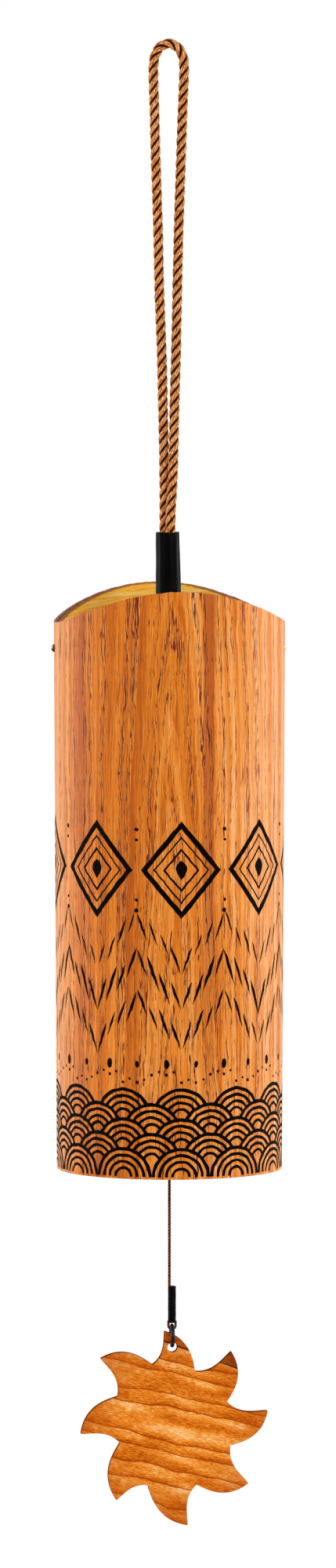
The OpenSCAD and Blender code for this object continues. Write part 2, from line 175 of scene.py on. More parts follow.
class Graph:
    """A node tree, to which one method adds every node."""

    def __init__(self, tree: bpy.types.NodeTree) -> None:
        """Takes the tree of a material or a world."""
        self.tree = tree

    def put(self, socket: Socket, value: Value) -> None:
        """Links an input to a socket, or sets its value.

        Args:
            socket: The input.
            value: A socket, a value or a hex colour.
        """
        if isinstance(value, Socket):
            self.tree.links.new(value, socket)
        else:
            socket.default_value = paint(value) if isinstance(value, str) else value

    def add(self, kind: Node, *values: Value, out: str | None = None, **more: object) -> Socket | None:
        """Adds a node with its settings and links.

        Args:
            kind: The kind of node.
            *values: A value for each input that this kind uses, in their order.
            out: The output's name, where it isn't the first in use.
            **more: Inputs by their names, the node's own settings, and a ramp's stops.

        Returns:
            The output, or None where the node has none.
        """
        node_type, *option = kind.value
        node = self.tree.nodes.new("ShaderNode" + node_type)
        if option:
            setattr(node, *option)
        for socket, value in zip([s for s in node.inputs if s.enabled], values):
            self.put(socket, value)
        for name, value in more.items():
            if name == "stops":
                self.colour(node.color_ramp.elements, value)
            elif name[0].isupper():
                self.put(node.inputs[name], value)
            else:
                setattr(node, name, value)
        return node.outputs[out] if out else next((s for s in node.outputs if s.enabled), None)

    @staticmethod
    def colour(marks: bpy.types.ColorRampElements, stops: Sequence[tuple[float, str]]) -> None:
        """Colours a ramp.

        Args:
            marks: The ramp's marks.
            stops: Each mark's place and hex colour.
        """
        while len(marks) < len(stops):
            marks.new(0.5)
        for mark, (place, code) in zip(marks, stops):
            mark.position = place
            mark.color = paint(code)

    def place(self) -> Socket:
        """Returns the place on the object, in metres."""
        return self.add(Node.PLACE, out="Object")

    def unrolled(self, radius: float) -> tuple[Socket, Socket]:
        """Lays a round wall out flat.

        Args:
            radius: The wall's radius.

        Returns:
            The way round from the middle of its front, and the height.
        """
        parts = self.add(Node.SPLIT, self.place()).node.outputs
        turn = self.add(Node.TURN, parts["X"], self.add(Node.TIMES, parts["Y"], -1.0))
        return self.add(Node.TIMES, turn, radius), self.add(Node.OVER, parts["Z"], MM)

    def turned(self, x: float, z: float, slant: float) -> Socket:
        """Returns the place on an upright board, measured along and across a slant.

        Args:
            x: The measures' start, across the board.
            z: Their start's height.
            slant: The slant.

        Returns:
            The place: X along the slant and Z across it.
        """
        shifted = self.add(Node.SHIFT, self.place(), (-x * MM, 0, -z * MM))
        return self.add(Node.MAPPING, shifted, Rotation=(0, -slant, 0), Scale=(1 / MM,) * 3)

    def grain(self, at: Socket, stretch: Sequence[float], detail: float, rough: float = 0.5) -> Socket:
        """Lays an uneven pattern that is drawn out along the grain.

        Args:
            at: The place.
            stretch: Patterns for each unit of the place, along each axis.
            detail: How many finer patterns lie on the first.
            rough: How strong they are.

        Returns:
            The pattern, mostly from 0.3 to 0.7.
        """
        return self.add(Node.NOISE, self.add(Node.STRETCH, at, stretch), 1.0, detail, rough)

    def facing(self, axis: str) -> Socket:
        """Returns how squarely the surface faces along an axis, from 0 to 1."""
        normal = self.add(Node.SURFACE, out="True Normal")
        return self.add(Node.SIZE, self.add(Node.SPLIT, normal, out=axis))

    def finish(self, height: Socket | None, height_mm: float, **sockets: Value) -> None:
        """Sets the shader's sockets.

        Args:
            height: The surface's height from 0 to 1, or None.
            height_mm: How high 1 stands.
            **sockets: The sockets' values by name, with _ for a space.
        """
        if height is not None:
            sockets["Normal"] = self.add(Node.BUMP, 1.0, height_mm * MM, Height=height)
        for name, value in sockets.items():
            self.put(self.tree.nodes["Principled BSDF"].inputs[name.replace("_", " ")], value)


class Finish:
    """A finish, which makes its material once."""

    name = "finish"

    def made(self) -> bpy.types.Material:
        """Finds the material or makes it.

        Returns:
            The material.
        """
        material = bpy.data.materials.get(self.name)
        if material is None:
            material = bpy.data.materials.new(self.name)
            material.use_nodes = True
            self.dress(Graph(material.node_tree))
        return material

    def dress(self, graph: Graph) -> None:
        """Adds the finish's nodes to a new material's graph."""
        raise NotImplementedError


@dataclass(frozen=True)
class VeneerSheet:
    """The places and patterns of the flat veneer that its colours are worked out from."""

    across: Socket
    along: Socket
    flat: Socket
    bent: Socket
    shiver: Socket
    rings: Socket
    fibre: Socket
    edge_reflection: Socket


@dataclass(frozen=True)
class OakVeneer(Finish):
    """Oiled oak veneer, sliced flat: upright figure with tall arches, and short open pores."""

    name: str = "oiled_oak_veneer"
    radius: float = 32.9
    middle: float = -2.6
    ring_width: float = 2.6
    arch_round: float = 3.0
    arch_height: float = 17.0
    arch_spread: float = 8.0
    arch_top: float = -154.0
    side_shift: float = 3.7
    sway: float = 4.4
    shiver: float = 1.5
    band_at: float = 7.9
    band_half: float = 1.7
    # How far off the pores are sampled for the painted highlight beside each one.
    pore_highlight_shift: Triple = (-0.18, -0.1, 0)

    def growth(self, graph: Graph, swayed: Socket, along: Socket) -> Socket:
        """Counts growth rings, 2 to 3 mm apart, that close in tall arches near the sheet's middle.

        Args:
            graph: The new material's graph.
            swayed: The way across the swaying grain.
            along: The height.

        Returns:
            The number of rings up to each place.
        """
        add = graph.add
        off = add(Node.MINUS, swayed, self.middle)
        square = add(Node.TIMES, off, off)
        level = add(Node.OVER, add(Node.ROOT, add(Node.PLUS, square, self.arch_round**2)), self.ring_width)
        reach = add(Node.PLUS, add(Node.OVER, square, self.arch_spread**2), 1.0)
        depth = add(Node.OVER, add(Node.MINUS, self.arch_top, along), self.arch_height)
        # The rings of both sides differ.
        side = add(Node.TIMES, add(Node.SIGN, off), self.side_shift)
        return add(Node.PLUS, add(Node.MINUS, level, add(Node.OVER, depth, reach)), side)

    def sheet(self, graph: Graph) -> VeneerSheet:
        """Lays the sheet out flat, with the sway of its grain.

        Args:
            graph: The new material's graph.

        Returns:
            The sheet.
        """
        add, grain = graph.add, graph.grain
        across, along = graph.unrolled(self.radius)
        flat = add(Node.JOIN, across, along)
        # The grain sways a few millimetres over a hand's breadth, and shivers a little.
        sway = add(Node.TIMES, add(Node.MINUS, grain(flat, (0.05, 0.016, 0), 2.0), 0.5), self.sway)
        shiver = add(Node.TIMES, add(Node.MINUS, grain(flat, (0.3, 0.11, 0), 2.0), 0.5), self.shiver)
        swayed = add(Node.PLUS, across, add(Node.PLUS, sway, shiver))
        bent = add(Node.JOIN, swayed, along)
        return VeneerSheet(
            across=across,
            along=along,
            flat=flat,
            bent=bent,
            shiver=shiver,
            rings=self.growth(graph, swayed, along),
            fibre=grain(bent, (3.0, 0.08, 0), 4.0, 0.64),
            # A painted reflection along the far left edge, where the wood turns pale pink.
            edge_reflection=add(Node.RANGE, across, -33.0, -46.0, 0.0, 0.42),
        )

    def wood(self, graph: Graph, sheet: VeneerSheet) -> Socket:
        """Colours the wood between its pores.

        Args:
            graph: The new material's graph.
            sheet: The flat sheet.

        Returns:
            The wood's colour.
        """
        add, grain, across = graph.add, graph.grain, sheet.across
        # Painted light makes the sheet paler to the right of its middle, painted shade makes it darker to
        # the left, and a painted reflection makes it pale again far left.
        right = add(Node.RANGE, across, 8.0, 24.0, 0.0, 0.17)
        left = add(Node.RANGE, across, -8.0, -14.0, 0.0, 0.15)
        far_left_reflection = add(Node.RANGE, across, -32.0, -42.0, 0.0, 0.16)
        tone = add(Node.PLUS, add(Node.MINUS, right, left), far_left_reflection)
        # Its figure, streaks, broad clouds and fibres each take a share of its tone.
        for pattern, low, high, share in (
            (add(Node.LAYERS, sheet.rings, 0.75, 5.0, 0.62), 0.36, 0.64, 0.3),
            (grain(sheet.bent, (0.36, 0.008, 0), 4.0, 0.6), 0.36, 0.64, 0.2),
            (grain(sheet.flat, (0.05, 0.012, 0), 2.0), 0.3, 0.7, 0.2),
            (sheet.fibre, 0.3, 0.7, 0.34),
        ):
            tone = add(Node.PLUS, tone, add(Node.RANGE, pattern, low, high, 0.0, share))
        stops = (0.20, "#B85606"), (0.36, "#D26E0E"), (0.52, "#E48426"), (0.68, "#EE9744"), (0.86, "#F8B276")
        # Towards the far left edge the wood is mixed to pale pink: a painted reflection.
        wood = add(Node.MIX, sheet.edge_reflection, add(Node.RAMP, tone, stops=stops), "#EFB488")
        # Thin dark lines of late wood run up the sheet, a few millimetres apart.
        drift = add(Node.SIZE, add(Node.MINUS, grain(sheet.bent, (0.5, 0.007, 0), 1.0), 0.5))
        late = add(Node.RANGE, drift, 0.004, 0.016, 1.0, 0.0)
        broken = add(Node.RANGE, grain(sheet.flat, (0.9, 0.05, 0), 2.0), 0.42, 0.6, 0.0, 0.7)
        lined = add(Node.MIX, add(Node.TIMES, late, broken), wood, "#8A3204")
        # The heartwood band is 3.4 mm wide and grows paler below.
        aside = add(Node.SIZE, add(Node.MINUS, add(Node.PLUS, across, sheet.shiver), self.band_at))
        inside = add(Node.RANGE, aside, self.band_half - 0.25, self.band_half + 0.05, 1.0, 0.0)
        above = add(Node.RANGE, sheet.along, -300.0, -205.0, 0.25, 0.8)
        return add(Node.MIX, add(Node.TIMES, inside, above), lined, "#B04E0C")

    def pored(self, graph: Graph, at: Socket, early: Socket) -> Socket:
        """Strews pores 0.2 to 0.3 mm wide and some 4 to 12 mm long.

        Args:
            graph: The new material's graph.
            at: The place along the grain.
            early: How much more the pores crowd here.

        Returns:
            How near each place is to a pore.
        """
        short = graph.grain(at, (4.3, 0.28, 0), 1.0)
        tall = graph.add(Node.MINUS, graph.grain(at, (3.7, 0.085, 0), 1.0), 0.025)
        return graph.add(Node.PLUS, graph.add(Node.LARGER, short, tall), early)

    def dress(self, graph: Graph) -> None:
        """Adds the wood, one dark band of heartwood, the pores and the browned rim.

        Args:
            graph: The new material's graph.
        """
        add = graph.add
        sheet = self.sheet(graph)
        # Open pores crowd in the early wood.
        crowd = add(Node.RANGE, add(Node.LAYERS, sheet.rings, 1.1, 1.0), 0.46, 0.6, 0.0, 0.15)
        patch = graph.grain(sheet.flat, (0.16, 0.04, 0), 1.0)
        early = add(Node.PLUS, crowd, add(Node.RANGE, patch, 0.35, 0.65, 0.0, 0.05))
        # They are fainter towards both sides, at the far left under the painted reflection, and redder
        # towards the right. Each has a painted highlight on one side.
        brightened = add(Node.PLUS, sheet.edge_reflection, add(Node.RANGE, sheet.across, 14.0, 34.0, 0.0, 0.3))
        deep = add(Node.RANGE, self.pored(graph, sheet.bent, early), 0.705, 0.78)
        pore = add(Node.TIMES, deep, add(Node.MINUS, 1.0, brightened))
        # The painted highlight sits just right of and above each pore.
        beside = add(Node.SHIFT, sheet.bent, self.pore_highlight_shift)
        pore_highlight = add(Node.RANGE, self.pored(graph, beside, early), 0.73, 0.79, 0.0, 0.22)
        highlit_wood = add(Node.MIX, pore_highlight, self.wood(graph, sheet), "#F6B878")
        dark = add(Node.RAMP, patch, stops=((0.4, "#560E00"), (0.6, "#762000")))
        hollow = add(Node.MIX, add(Node.RANGE, sheet.across, 6.0, 26.0, 0.0, 0.8), dark, "#A83404")
        colour = add(Node.MIX, pore, highlit_wood, hollow)
        # Sawn across, the sheet's rim is browned.
        rim = add(Node.RANGE, graph.facing("Z"), 0.45, 0.8, 0.0, 0.85)
        sawn = add(Node.MIX, rim, colour, "#6E3206")
        height = add(Node.MINUS, add(Node.TIMES, sheet.fibre, 0.4), pore)
        graph.finish(height, 0.05, Base_Color=sawn, Roughness=0.48, Specular_IOR_Level=0.14)


@dataclass(frozen=True)
class GoldenPly(Finish):
    """Inner plies of pale golden wood, whose grain runs round the tube. Sawn edges are darker."""

    name: str = "golden_ply"
    radius: float = 31.8
    climb: float = 0.09
    plies: float = 2.2
    torn_depth: float = 0.9
    heights: Heights = Heights()

    def scorched(self, graph: Graph, along: Socket, reach: Socket, flat: Socket) -> Socket:
        """Browns the wall for about half a millimetre under the wavy rim, where the saw tore it.

        Args:
            graph: The new material's graph.
            along: The height.
            reach: The distance from the tube's axis.
            flat: The place on the flat wall.

        Returns:
            How brown each place is.
        """
        add = graph.add
        front = add(Node.SPLIT, graph.place(), out="Y")
        depth = add(Node.OVER, front, add(Node.TIMES, reach, MM))
        rise = add(Node.TIMES, add(Node.TIMES, depth, depth), self.heights.rim_rise)
        crest = add(Node.PLUS, rise, self.heights.rim_low)
        torn = add(Node.TIMES, graph.grain(flat, (0.7, 0.3, 0), 5.0, 0.7), self.torn_depth)
        under = add(Node.MINUS, add(Node.MINUS, crest, along), torn)
        return add(Node.RANGE, under, 0.0, 0.2, 0.9, 0.0)

    def dress(self, graph: Graph) -> None:
        """Adds level grain on the walls and the plies' rough, browned edges on the rims.

        Args:
            graph: The new material's graph.
        """
        add = graph.add
        across, along = graph.unrolled(self.radius)
        flat = add(Node.JOIN, across, add(Node.PLUS, along, add(Node.TIMES, across, self.climb)))
        grain = graph.grain(flat, (0.06, 1.5, 0), 5.0, 0.7)
        stops = (0.34, "#D88A1C"), (0.44, "#FFB836"), (0.54, "#FFCC52"), (0.64, "#FFE49C")
        wall = add(Node.RAMP, grain, stops=stops)
        # Seen on the rim, the plies and their glue lines follow the tube round.
        reach = add(Node.LENGTH, add(Node.STRETCH, graph.place(), (1 / MM, 1 / MM, 0)))
        fuzz = add(Node.NOISE, graph.place(), 0.9 / MM, 3.0)
        layer = add(Node.PLUS, add(Node.TIMES, reach, self.plies), add(Node.TIMES, fuzz, 0.8))
        edge = add(Node.LAYERS, layer, 1.0)
        sawn = add(Node.RAMP, edge, stops=((0.36, "#3E1A06"), (0.48, "#7C3E0E"), (0.62, "#A8651E")))
        rim = add(Node.RANGE, graph.facing("Z"), 0.35, 0.6)
        browned = add(Node.LARGER, rim, self.scorched(graph, along, reach, flat))
        colour = add(Node.MIX, browned, wall, sawn)
        height = add(Node.PLUS, grain, add(Node.TIMES, fuzz, rim))
        graph.finish(height, 0.08, Base_Color=colour, Roughness=0.6, Specular_IOR_Level=0.12)


@dataclass(frozen=True)
class CherrySail(Finish):
    """Oiled cherry wood: slanting growth lines, short bright flecks and scorched sawn edges."""

    name: str = "oiled_cherry"
    middle_x: float = 1.43
    middle_z: float = -396.9
    slant: float = math.radians(13)
    sway: float = 5.0
    ring_width: float = 5.2
    line_x: float = -2.85
    line_z: float = 24.35
    line_slant: float = math.radians(21.2)

    def wood(self, graph: Graph, turned: Socket, fleck: Socket, flat: Socket, across: Socket) -> Socket:
        """Colours the face of the board.

        Args:
            graph: The new material's graph.
            turned: The place along and across the grain.
            fleck: The short bright flecks.
            flat: The place on the face.
            across: The way across the grain.

        Returns:
            The wood's colour.
        """
        add = graph.add
        sway = add(Node.MINUS, graph.grain(flat, (0.05, 0.08, 0), 2.0), 0.5)
        bent = add(Node.PLUS, across, add(Node.TIMES, sway, self.sway))
        # Growth rings are about 5 mm wide: each darkens downwards and ends in a thin dark line.
        uneven = add(Node.TIMES, add(Node.LAYERS, bent, 0.12, 1.0), 3.0)
        ring = add(Node.FRACTION, add(Node.PLUS, add(Node.OVER, bent, -self.ring_width), uneven))
        late = add(Node.RANGE, ring, 0.35, 0.97, 0.0, 0.10)
        line = add(Node.RANGE, add(Node.SIZE, add(Node.MINUS, ring, 0.93)), 0.01, 0.075, 0.85, 0.0)
        cloud = add(Node.TIMES, graph.grain(flat, (0.06, 0.22, 0), 3.0), 0.4)
        tone = add(Node.MINUS, add(Node.PLUS, add(Node.TIMES, fleck, 0.6), cloud), late)
        stops = (0.35, "#A84204"), (0.42, "#D6690C"), (0.48, "#EE8A24"), (0.54, "#FFAA50"), (0.60, "#FFDCA0")
        lined = add(Node.MIX, line, add(Node.RAMP, tone, stops=stops), "#983A04")
        # The rays are darker than the middle.
        dim = add(Node.RANGE, add(Node.LENGTH, turned), 15.0, 29.0, 0.0, 0.65)
        return add(Node.MIX, dim, lined, "#B54A06")

    def dress(self, graph: Graph) -> None:
        """Adds the wood, one black mineral line and the darker edges.

        Args:
            graph: The new material's graph.
        """
        add = graph.add
        turned = graph.turned(self.middle_x, self.middle_z, self.slant)
        parts = add(Node.SPLIT, turned).node.outputs
        flat = add(Node.JOIN, parts["X"], parts["Z"])
        fleck = graph.grain(flat, (0.6, 3.3, 0), 5.0, 0.75)
        wood = self.wood(graph, turned, fleck, flat, parts["Z"])
        # The mineral line is 0.3 mm wide, and the wood beyond it is redder.
        start_x, start_z = self.middle_x + self.line_x, self.middle_z + self.line_z
        line = add(Node.SPLIT, graph.turned(start_x, start_z, self.line_slant)).node.outputs
        past = add(Node.RANGE, line["Z"], 0.0, 0.3)
        far = add(Node.RANGE, line["X"], 6.0, 22.0, 0.2, 0.9)
        red = add(Node.MIX, add(Node.TIMES, past, far), wood, "#7C2202")
        streak = add(Node.RANGE, add(Node.SIZE, line["Z"]), 0.12, 0.26, 0.95, 0.0)
        marked = add(Node.MIX, streak, red, "#1C0B04")
        sawn = add(Node.RANGE, graph.facing("Y"), 0.9, 0.5, 0.0, 0.85)
        colour = add(Node.MIX, sawn, marked, "#6A2C0A")
        rough = add(Node.RANGE, sawn, 0.0, 1.0, 0.55, 1.0)
        graph.finish(fleck, 0.08, Base_Color=colour, Roughness=rough, Specular_IOR_Level=0.08, IOR=1.2)


@dataclass(frozen=True)
class TwistedYarn(Finish):
    """Twisted yarn: fine threads that run round each strand, dull and a little fuzzy."""

    name: str = "golden_rope_yarn"
    dark: str = "#6A2A0A"
    middle: str = "#DC8230"
    light: str = "#FFD09C"
    # Painted shade: red-brown near the neighbouring strand, and nearly black between the strands.
    groove_shade: str = "#541402"
    groove_shadow: str = "#0C0200"
    threads: float = 12.0
    thread_pitch: float = 4.4

    def dress(self, graph: Graph) -> None:
        """Adds threads from the strand's own map and uneven colour along the cord.

        Args:
            graph: The new material's graph.
        """
        add = graph.add
        # X runs once round the strand, from its outer side, and Y is the length in millimetres.
        laid = add(Node.SPLIT, add(Node.OWN_MAP, uv_map="strand")).node.outputs
        turns = add(Node.TIMES, laid["X"], self.threads)
        phase = add(Node.PLUS, turns, add(Node.OVER, laid["Y"], self.thread_pitch / self.threads * 3))
        wave = add(Node.SIZE, add(Node.MINUS, add(Node.FRACTION, phase), 0.5))
        thread = add(Node.MINUS, 1.0, add(Node.POWER, add(Node.TIMES, wave, 2.0), 2.0))
        # Loose fibres are one or two millimetres long.
        strewn = add(Node.JOIN, add(Node.TIMES, phase, 1.7), laid["Y"])
        fibre = add(Node.NOISE, strewn, 1.0, 3.0, 0.65)
        patch = add(Node.TIMES, add(Node.NOISE, graph.place(), 0.3 / MM, 3.0), 0.15)
        uneven = add(Node.PLUS, add(Node.TIMES, fibre, 0.75), patch)
        tone = add(Node.PLUS, add(Node.TIMES, thread, 0.14), uneven)
        shade = add(Node.RAMP, tone, stops=((0.40, self.dark), (0.53, self.middle), (0.68, self.light)))
        # Painted shade: the strand is red-brown near its neighbour and nearly black where the two meet.
        out = add(Node.SIZE, add(Node.MINUS, laid["X"], 0.5))
        shaded_toward_groove = add(Node.MIX, add(Node.RANGE, out, 0.34, 0.425), self.groove_shade, shade)
        colour = add(Node.MIX, add(Node.RANGE, out, 0.30, 0.345), self.groove_shadow, shaded_toward_groove)
        height = add(Node.PLUS, thread, fibre)
        graph.finish(height, 0.1, Base_Color=colour, Roughness=0.75, Specular_IOR_Level=0.04)


@dataclass(frozen=True)
class ShrinkSleeve(Finish):
    """Black polyolefin sleeving, shrunk by heat: half gloss with a faint orange-peel skin."""

    name: str = "black_shrink_sleeving"

    def dress(self, graph: Graph) -> None:
        """Adds the skin's fine unevenness and dust.

        Args:
            graph: The new material's graph.
        """
        skin = graph.add(Node.NOISE, graph.place(), 0.7 / MM, 3.0)
        dust = graph.add(Node.NOISE, graph.place(), 0.16 / MM, 4.0)
        colour = graph.add(Node.RAMP, dust, stops=((0.45, "#010101"), (0.75, "#0C0706")))
        rough = graph.add(Node.RANGE, dust, 0.3, 0.7, 0.3, 0.5)
        graph.finish(skin, 0.03, Base_Color=colour, Roughness=rough, Specular_IOR_Level=0.03)


@dataclass(frozen=True)
class ScreenInk(Finish):
    """Black screen-print ink, matt and slightly thin over the open grain."""

    name: str = "black_screen_ink"
    stretch: Triple = (1.8 / MM, 1.8 / MM, 0.16 / MM)

    def dress(self, graph: Graph) -> None:
        """Adds the ink's slight unevenness.

        Args:
            graph: The new material's graph.
        """
        thin = graph.grain(graph.place(), self.stretch, 2.0)
        colour = graph.add(Node.RAMP, thin, stops=((0.6, "#050201"), (0.8, "#241008")))
        graph.finish(thin, 0.02, Base_Color=colour, Roughness=0.7, Specular_IOR_Level=0.03)


@dataclass(frozen=True)
class PlainWood(Finish):
    """Sanded wood with straight grain along one axis."""

    name: str = "beech_dowel"
    dark: str = "#B98A5C"
    light: str = "#E2BD90"
    stretch: Triple = (0.12 / MM, 2.6 / MM, 2.6 / MM)
    roughness: float = 0.6

    def dress(self, graph: Graph) -> None:
        """Adds fine fibres.

        Args:
            graph: The new material's graph.
        """
        fibres = graph.grain(graph.place(), self.stretch, 4.0)
        colour = graph.add(Node.RAMP, fibres, stops=((0.35, self.dark), (0.65, self.light)))
        graph.finish(fibres, 0.04, Base_Color=colour, Roughness=self.roughness)


@dataclass(frozen=True)
class Metal(Finish):
    """Worked metal, whose fine marks follow its turning or drawing."""

    name: str = "turned_steel"
    dark: str = "#8F8D88"
    light: str = "#C9C7C1"
    turned: bool = True
    roughness: float = 0.32
    stretch: Triple = (3 / MM, 3 / MM, 0.06 / MM)

    def dress(self, graph: Graph) -> None:
        """Adds rings round the axis where it is turned, and lines along it where it is drawn.

        Args:
            graph: The new material's graph.
        """
        add = graph.add
        if self.turned:
            # The tool leaves a ring about every quarter of a millimetre.
            reach = add(Node.LENGTH, add(Node.STRETCH, graph.place(), (1, 1, 0)))
            marks = add(Node.LAYERS, reach, 4 / MM, 2.0)
        else:
            marks = graph.grain(graph.place(), self.stretch, 3.0)
        stain = add(Node.NOISE, graph.place(), 0.13 / MM, 4.0)
        tone = add(Node.PLUS, add(Node.TIMES, marks, 0.5), add(Node.TIMES, stain, 0.5))
        colour = add(Node.RAMP, tone, stops=((0.35, self.dark), (0.65, self.light)))
        rough = add(Node.RANGE, stain, 0.3, 0.7, self.roughness - 0.08, self.roughness + 0.12)
        graph.finish(marks, 0.01, Base_Color=colour, Roughness=rough, Metallic=1.0)


@dataclass(frozen=True)
class PinWearAndGlint(Finish):
    """Blackened brass pin with bright brass in the middle of its head: partly wear, partly a painted
    highlight where the glint falls.
    """

    name: str = "blackened_brass"
    heights: Heights = Heights()
    wear_and_glint_reach: float = 0.85
    # The bright spot lies half a millimetre in front of the head's middle, and above it, where the painted
    # highlight falls.
    spot_y: float = -0.5
    spot_z: float = 0.35
    brass: str = "#E0A650"

    def dress(self, graph: Graph) -> None:
        """Adds the black coating and the spot of bright brass: wear, and a painted highlight.

        Args:
            graph: The new material's graph.
        """
        add = graph.add
        spot = (0, -self.spot_y * MM, -(self.heights.bar + self.spot_z) * MM)
        shifted = add(Node.SHIFT, graph.place(), spot)
        reach = add(Node.LENGTH, add(Node.STRETCH, shifted, (0, 1 / MM, 1 / MM)))
        chips = add(Node.NOISE, graph.place(), 1.5 / MM, 3.0)
        # Bright brass within the spot: wear, and a painted highlight.
        brightened = add(Node.RANGE, add(Node.PLUS, reach, chips), self.wear_and_glint_reach, self.wear_and_glint_reach + 0.25, 1.0, 0.0)
        colour = add(Node.MIX, brightened, "#0C0A08", self.brass)
        rough = add(Node.MINUS, 0.45, add(Node.TIMES, brightened, 0.15))
        graph.finish(chips, 0.02, Base_Color=colour, Metallic=brightened, Roughness=rough)


@dataclass(frozen=True)
class AmberResin(Finish):
    """Cured resin, amber and glossy, with tiny bubbles."""

    name: str = "amber_resin"

    def dress(self, graph: Graph) -> None:
        """Adds bubbles and uneven depth of colour.

        Args:
            graph: The new material's graph.
        """
        bubbles = graph.add(Node.BUBBLES, graph.place(), 1.4 / MM)
        depth = graph.add(Node.NOISE, graph.place(), 0.26 / MM, 3.0)
        colour = graph.add(Node.RAMP, depth, stops=((0.35, "#7A4A14"), (0.65, "#B98230")))
        graph.finish(bubbles, 0.03, Base_Color=colour, Roughness=0.22, Coat_Weight=0.3)


@dataclass(frozen=True)
class WireEnamel(Finish):
    """Black enamel on steel wire, glossy with small runs."""

    name: str = "black_wire_enamel"

    def dress(self, graph: Graph) -> None:
        """Adds the enamel's runs.

        Args:
            graph: The new material's graph.
        """
        runs = graph.add(Node.NOISE, graph.place(), 0.9 / MM, 2.0)
        colour = graph.add(Node.RAMP, runs, stops=((0.4, "#020202"), (0.7, "#0C0A0A")))
        graph.finish(runs, 0.03, Base_Color=colour, Roughness=0.25, Specular_IOR_Level=0.2)


@dataclass(frozen=True)
class PaleFloor(Finish):
    """A matt, nearly white floor, lit up to the eye, that hides nothing from below."""

    name: str = "pale_floor"
    lit_share: float = 0.94

    def dress(self, graph: Graph) -> None:
        """Adds the glow for the eye and the clear underside.

        Args:
            graph: The new material's graph.
        """
        add, nodes = graph.add, graph.tree.nodes
        graph.finish(None, 0, Base_Color="#F4F4F2", Roughness=0.9)
        lit = add(Node.TIMES, add(Node.RAYS, out="Is Camera Ray"), self.lit_share)
        above = add(Node.EITHER, lit, nodes["Principled BSDF"].outputs[0], add(Node.GLOW, "#FFFFFF", 1.0))
        below = add(Node.SURFACE, out="Backfacing")
        shown = add(Node.EITHER, below, above, add(Node.CLEAR))
        graph.put(nodes["Material Output"].inputs["Surface"], shown)


# Modelling helpers


def linked(name: str, data: bpy.types.ID) -> Piece:
    """Makes an object of a mesh, a lamp or a camera and puts it in the scene.

    Args:
        name: The object's name.
        data: What it holds.

    Returns:
        The object.
    """
    piece = bpy.data.objects.new(name, data)
    bpy.context.scene.collection.objects.link(piece)
    return piece


def chosen(piece: Piece) -> Piece:
    """Selects one object alone and makes it active.

    Args:
        piece: The object.

    Returns:
        The object.
    """
    bpy.ops.object.select_all(action="DESELECT")
    piece.select_set(True)
    bpy.context.view_layer.objects.active = piece
    return piece


@contextmanager
def editing(piece: Piece, whole: bool = True) -> Iterator[None]:
    """Opens an object in edit mode and closes it again.

    Args:
        piece: The object.
        whole: Whether all of it is selected at first.

    Yields:
        Nothing, once the object is open.
    """
    chosen(piece)
    bpy.ops.object.mode_set(mode="EDIT")
    if whole:
        bpy.ops.mesh.select_all(action="SELECT")
    yield
    bpy.ops.object.mode_set(mode="OBJECT")


def applied(piece: Piece, kind: str, **settings: object) -> Piece:
    """Adds a modifier and applies it.

    Args:
        piece: The object.
        kind: The modifier's type.
        **settings: The modifier's properties.

    Returns:
        The object.
    """
    chosen(piece)
    modifier = piece.modifiers.new(kind.lower(), kind)
    for name, value in settings.items():
        setattr(modifier, name, value)
    bpy.ops.object.modifier_apply(modifier=modifier.name)
    return piece


def eased(piece: Piece, width: float, segments: int, sharpest: float = 30) -> Piece:
    """Rounds an object's sharp edges.

    Args:
        piece: The object.
        width: The rounding's width.
        segments: How many faces it has across.
        sharpest: Edges sharper than this many degrees are rounded.

    Returns:
        The object.
    """
    limit = math.radians(sharpest)
    return applied(
        piece, "BEVEL", width=width * MM, segments=segments, limit_method="ANGLE", angle_limit=limit
    )


def settled(piece: Piece, name: str, smooth_angle: float = 40) -> Piece:
    """Names a finished object, puts its place in its mesh and shades it.

    Args:
        piece: The object.
        name: Its new name.
        smooth_angle: Edges flatter than this many degrees are shaded smooth.

    Returns:
        The object.
    """
    chosen(piece)
    piece.name = piece.data.name = name
    bpy.ops.object.transform_apply(location=True, rotation=True, scale=True)
    bpy.ops.object.shade_smooth_by_angle(angle=math.radians(smooth_angle))
    return piece


def shaped(piece: Piece, rule: Callable[[Vector], Vector]) -> Piece:
    """Moves every point of an object.

    Args:
        piece: The object.
        rule: Gives a point's new place from its old one, both in millimetres.

    Returns:
        The object.
    """
    for point in piece.data.vertices:
        point.co = rule(point.co / MM) * MM
    piece.data.update()
    return piece


def wrapped(piece: Piece, rule: Callable[[Vector], Vector]) -> Piece:
    """Wraps a flat object round the tube, closes its seam and turns its faces outwards.

    Args:
        piece: The object.
        rule: Gives a point's new place from its old one, both in millimetres.

    Returns:
        The object.
    """
    with editing(shaped(piece, rule)):
        bpy.ops.mesh.remove_doubles(threshold=DOUBLE_GAP * MM)
        bpy.ops.mesh.normals_make_consistent(inside=False)
    return piece


def united(pieces: Sequence[Piece]) -> Piece:
    """Joins objects to one.

    Args:
        pieces: The objects.

    Returns:
        The one object.
    """
    chosen(pieces[0])
    for piece in pieces:
        piece.select_set(True)
    bpy.ops.object.join()
    return pieces[0]


def tubing(sides: int, radius: float, high: float, low: float, middle: Vector, ends: str = "NGON") -> Piece:
    """Adds an upright cylinder between two heights.

    Args:
        sides: How many sides it has.
        radius: Its radius.
        high: Its top's height.
        low: Its bottom's height.
        middle: Where its axis stands.
        ends: How its ends are filled.

    Returns:
        The cylinder.
    """
    place = Vector((middle.x, middle.y, (high + low) / 2)) * MM
    bpy.ops.mesh.primitive_cylinder_add(
        vertices=sides, radius=radius * MM, depth=(high - low) * MM, end_fill_type=ends, location=place
    )
    bpy.ops.object.transform_apply(location=True)
    return bpy.context.object


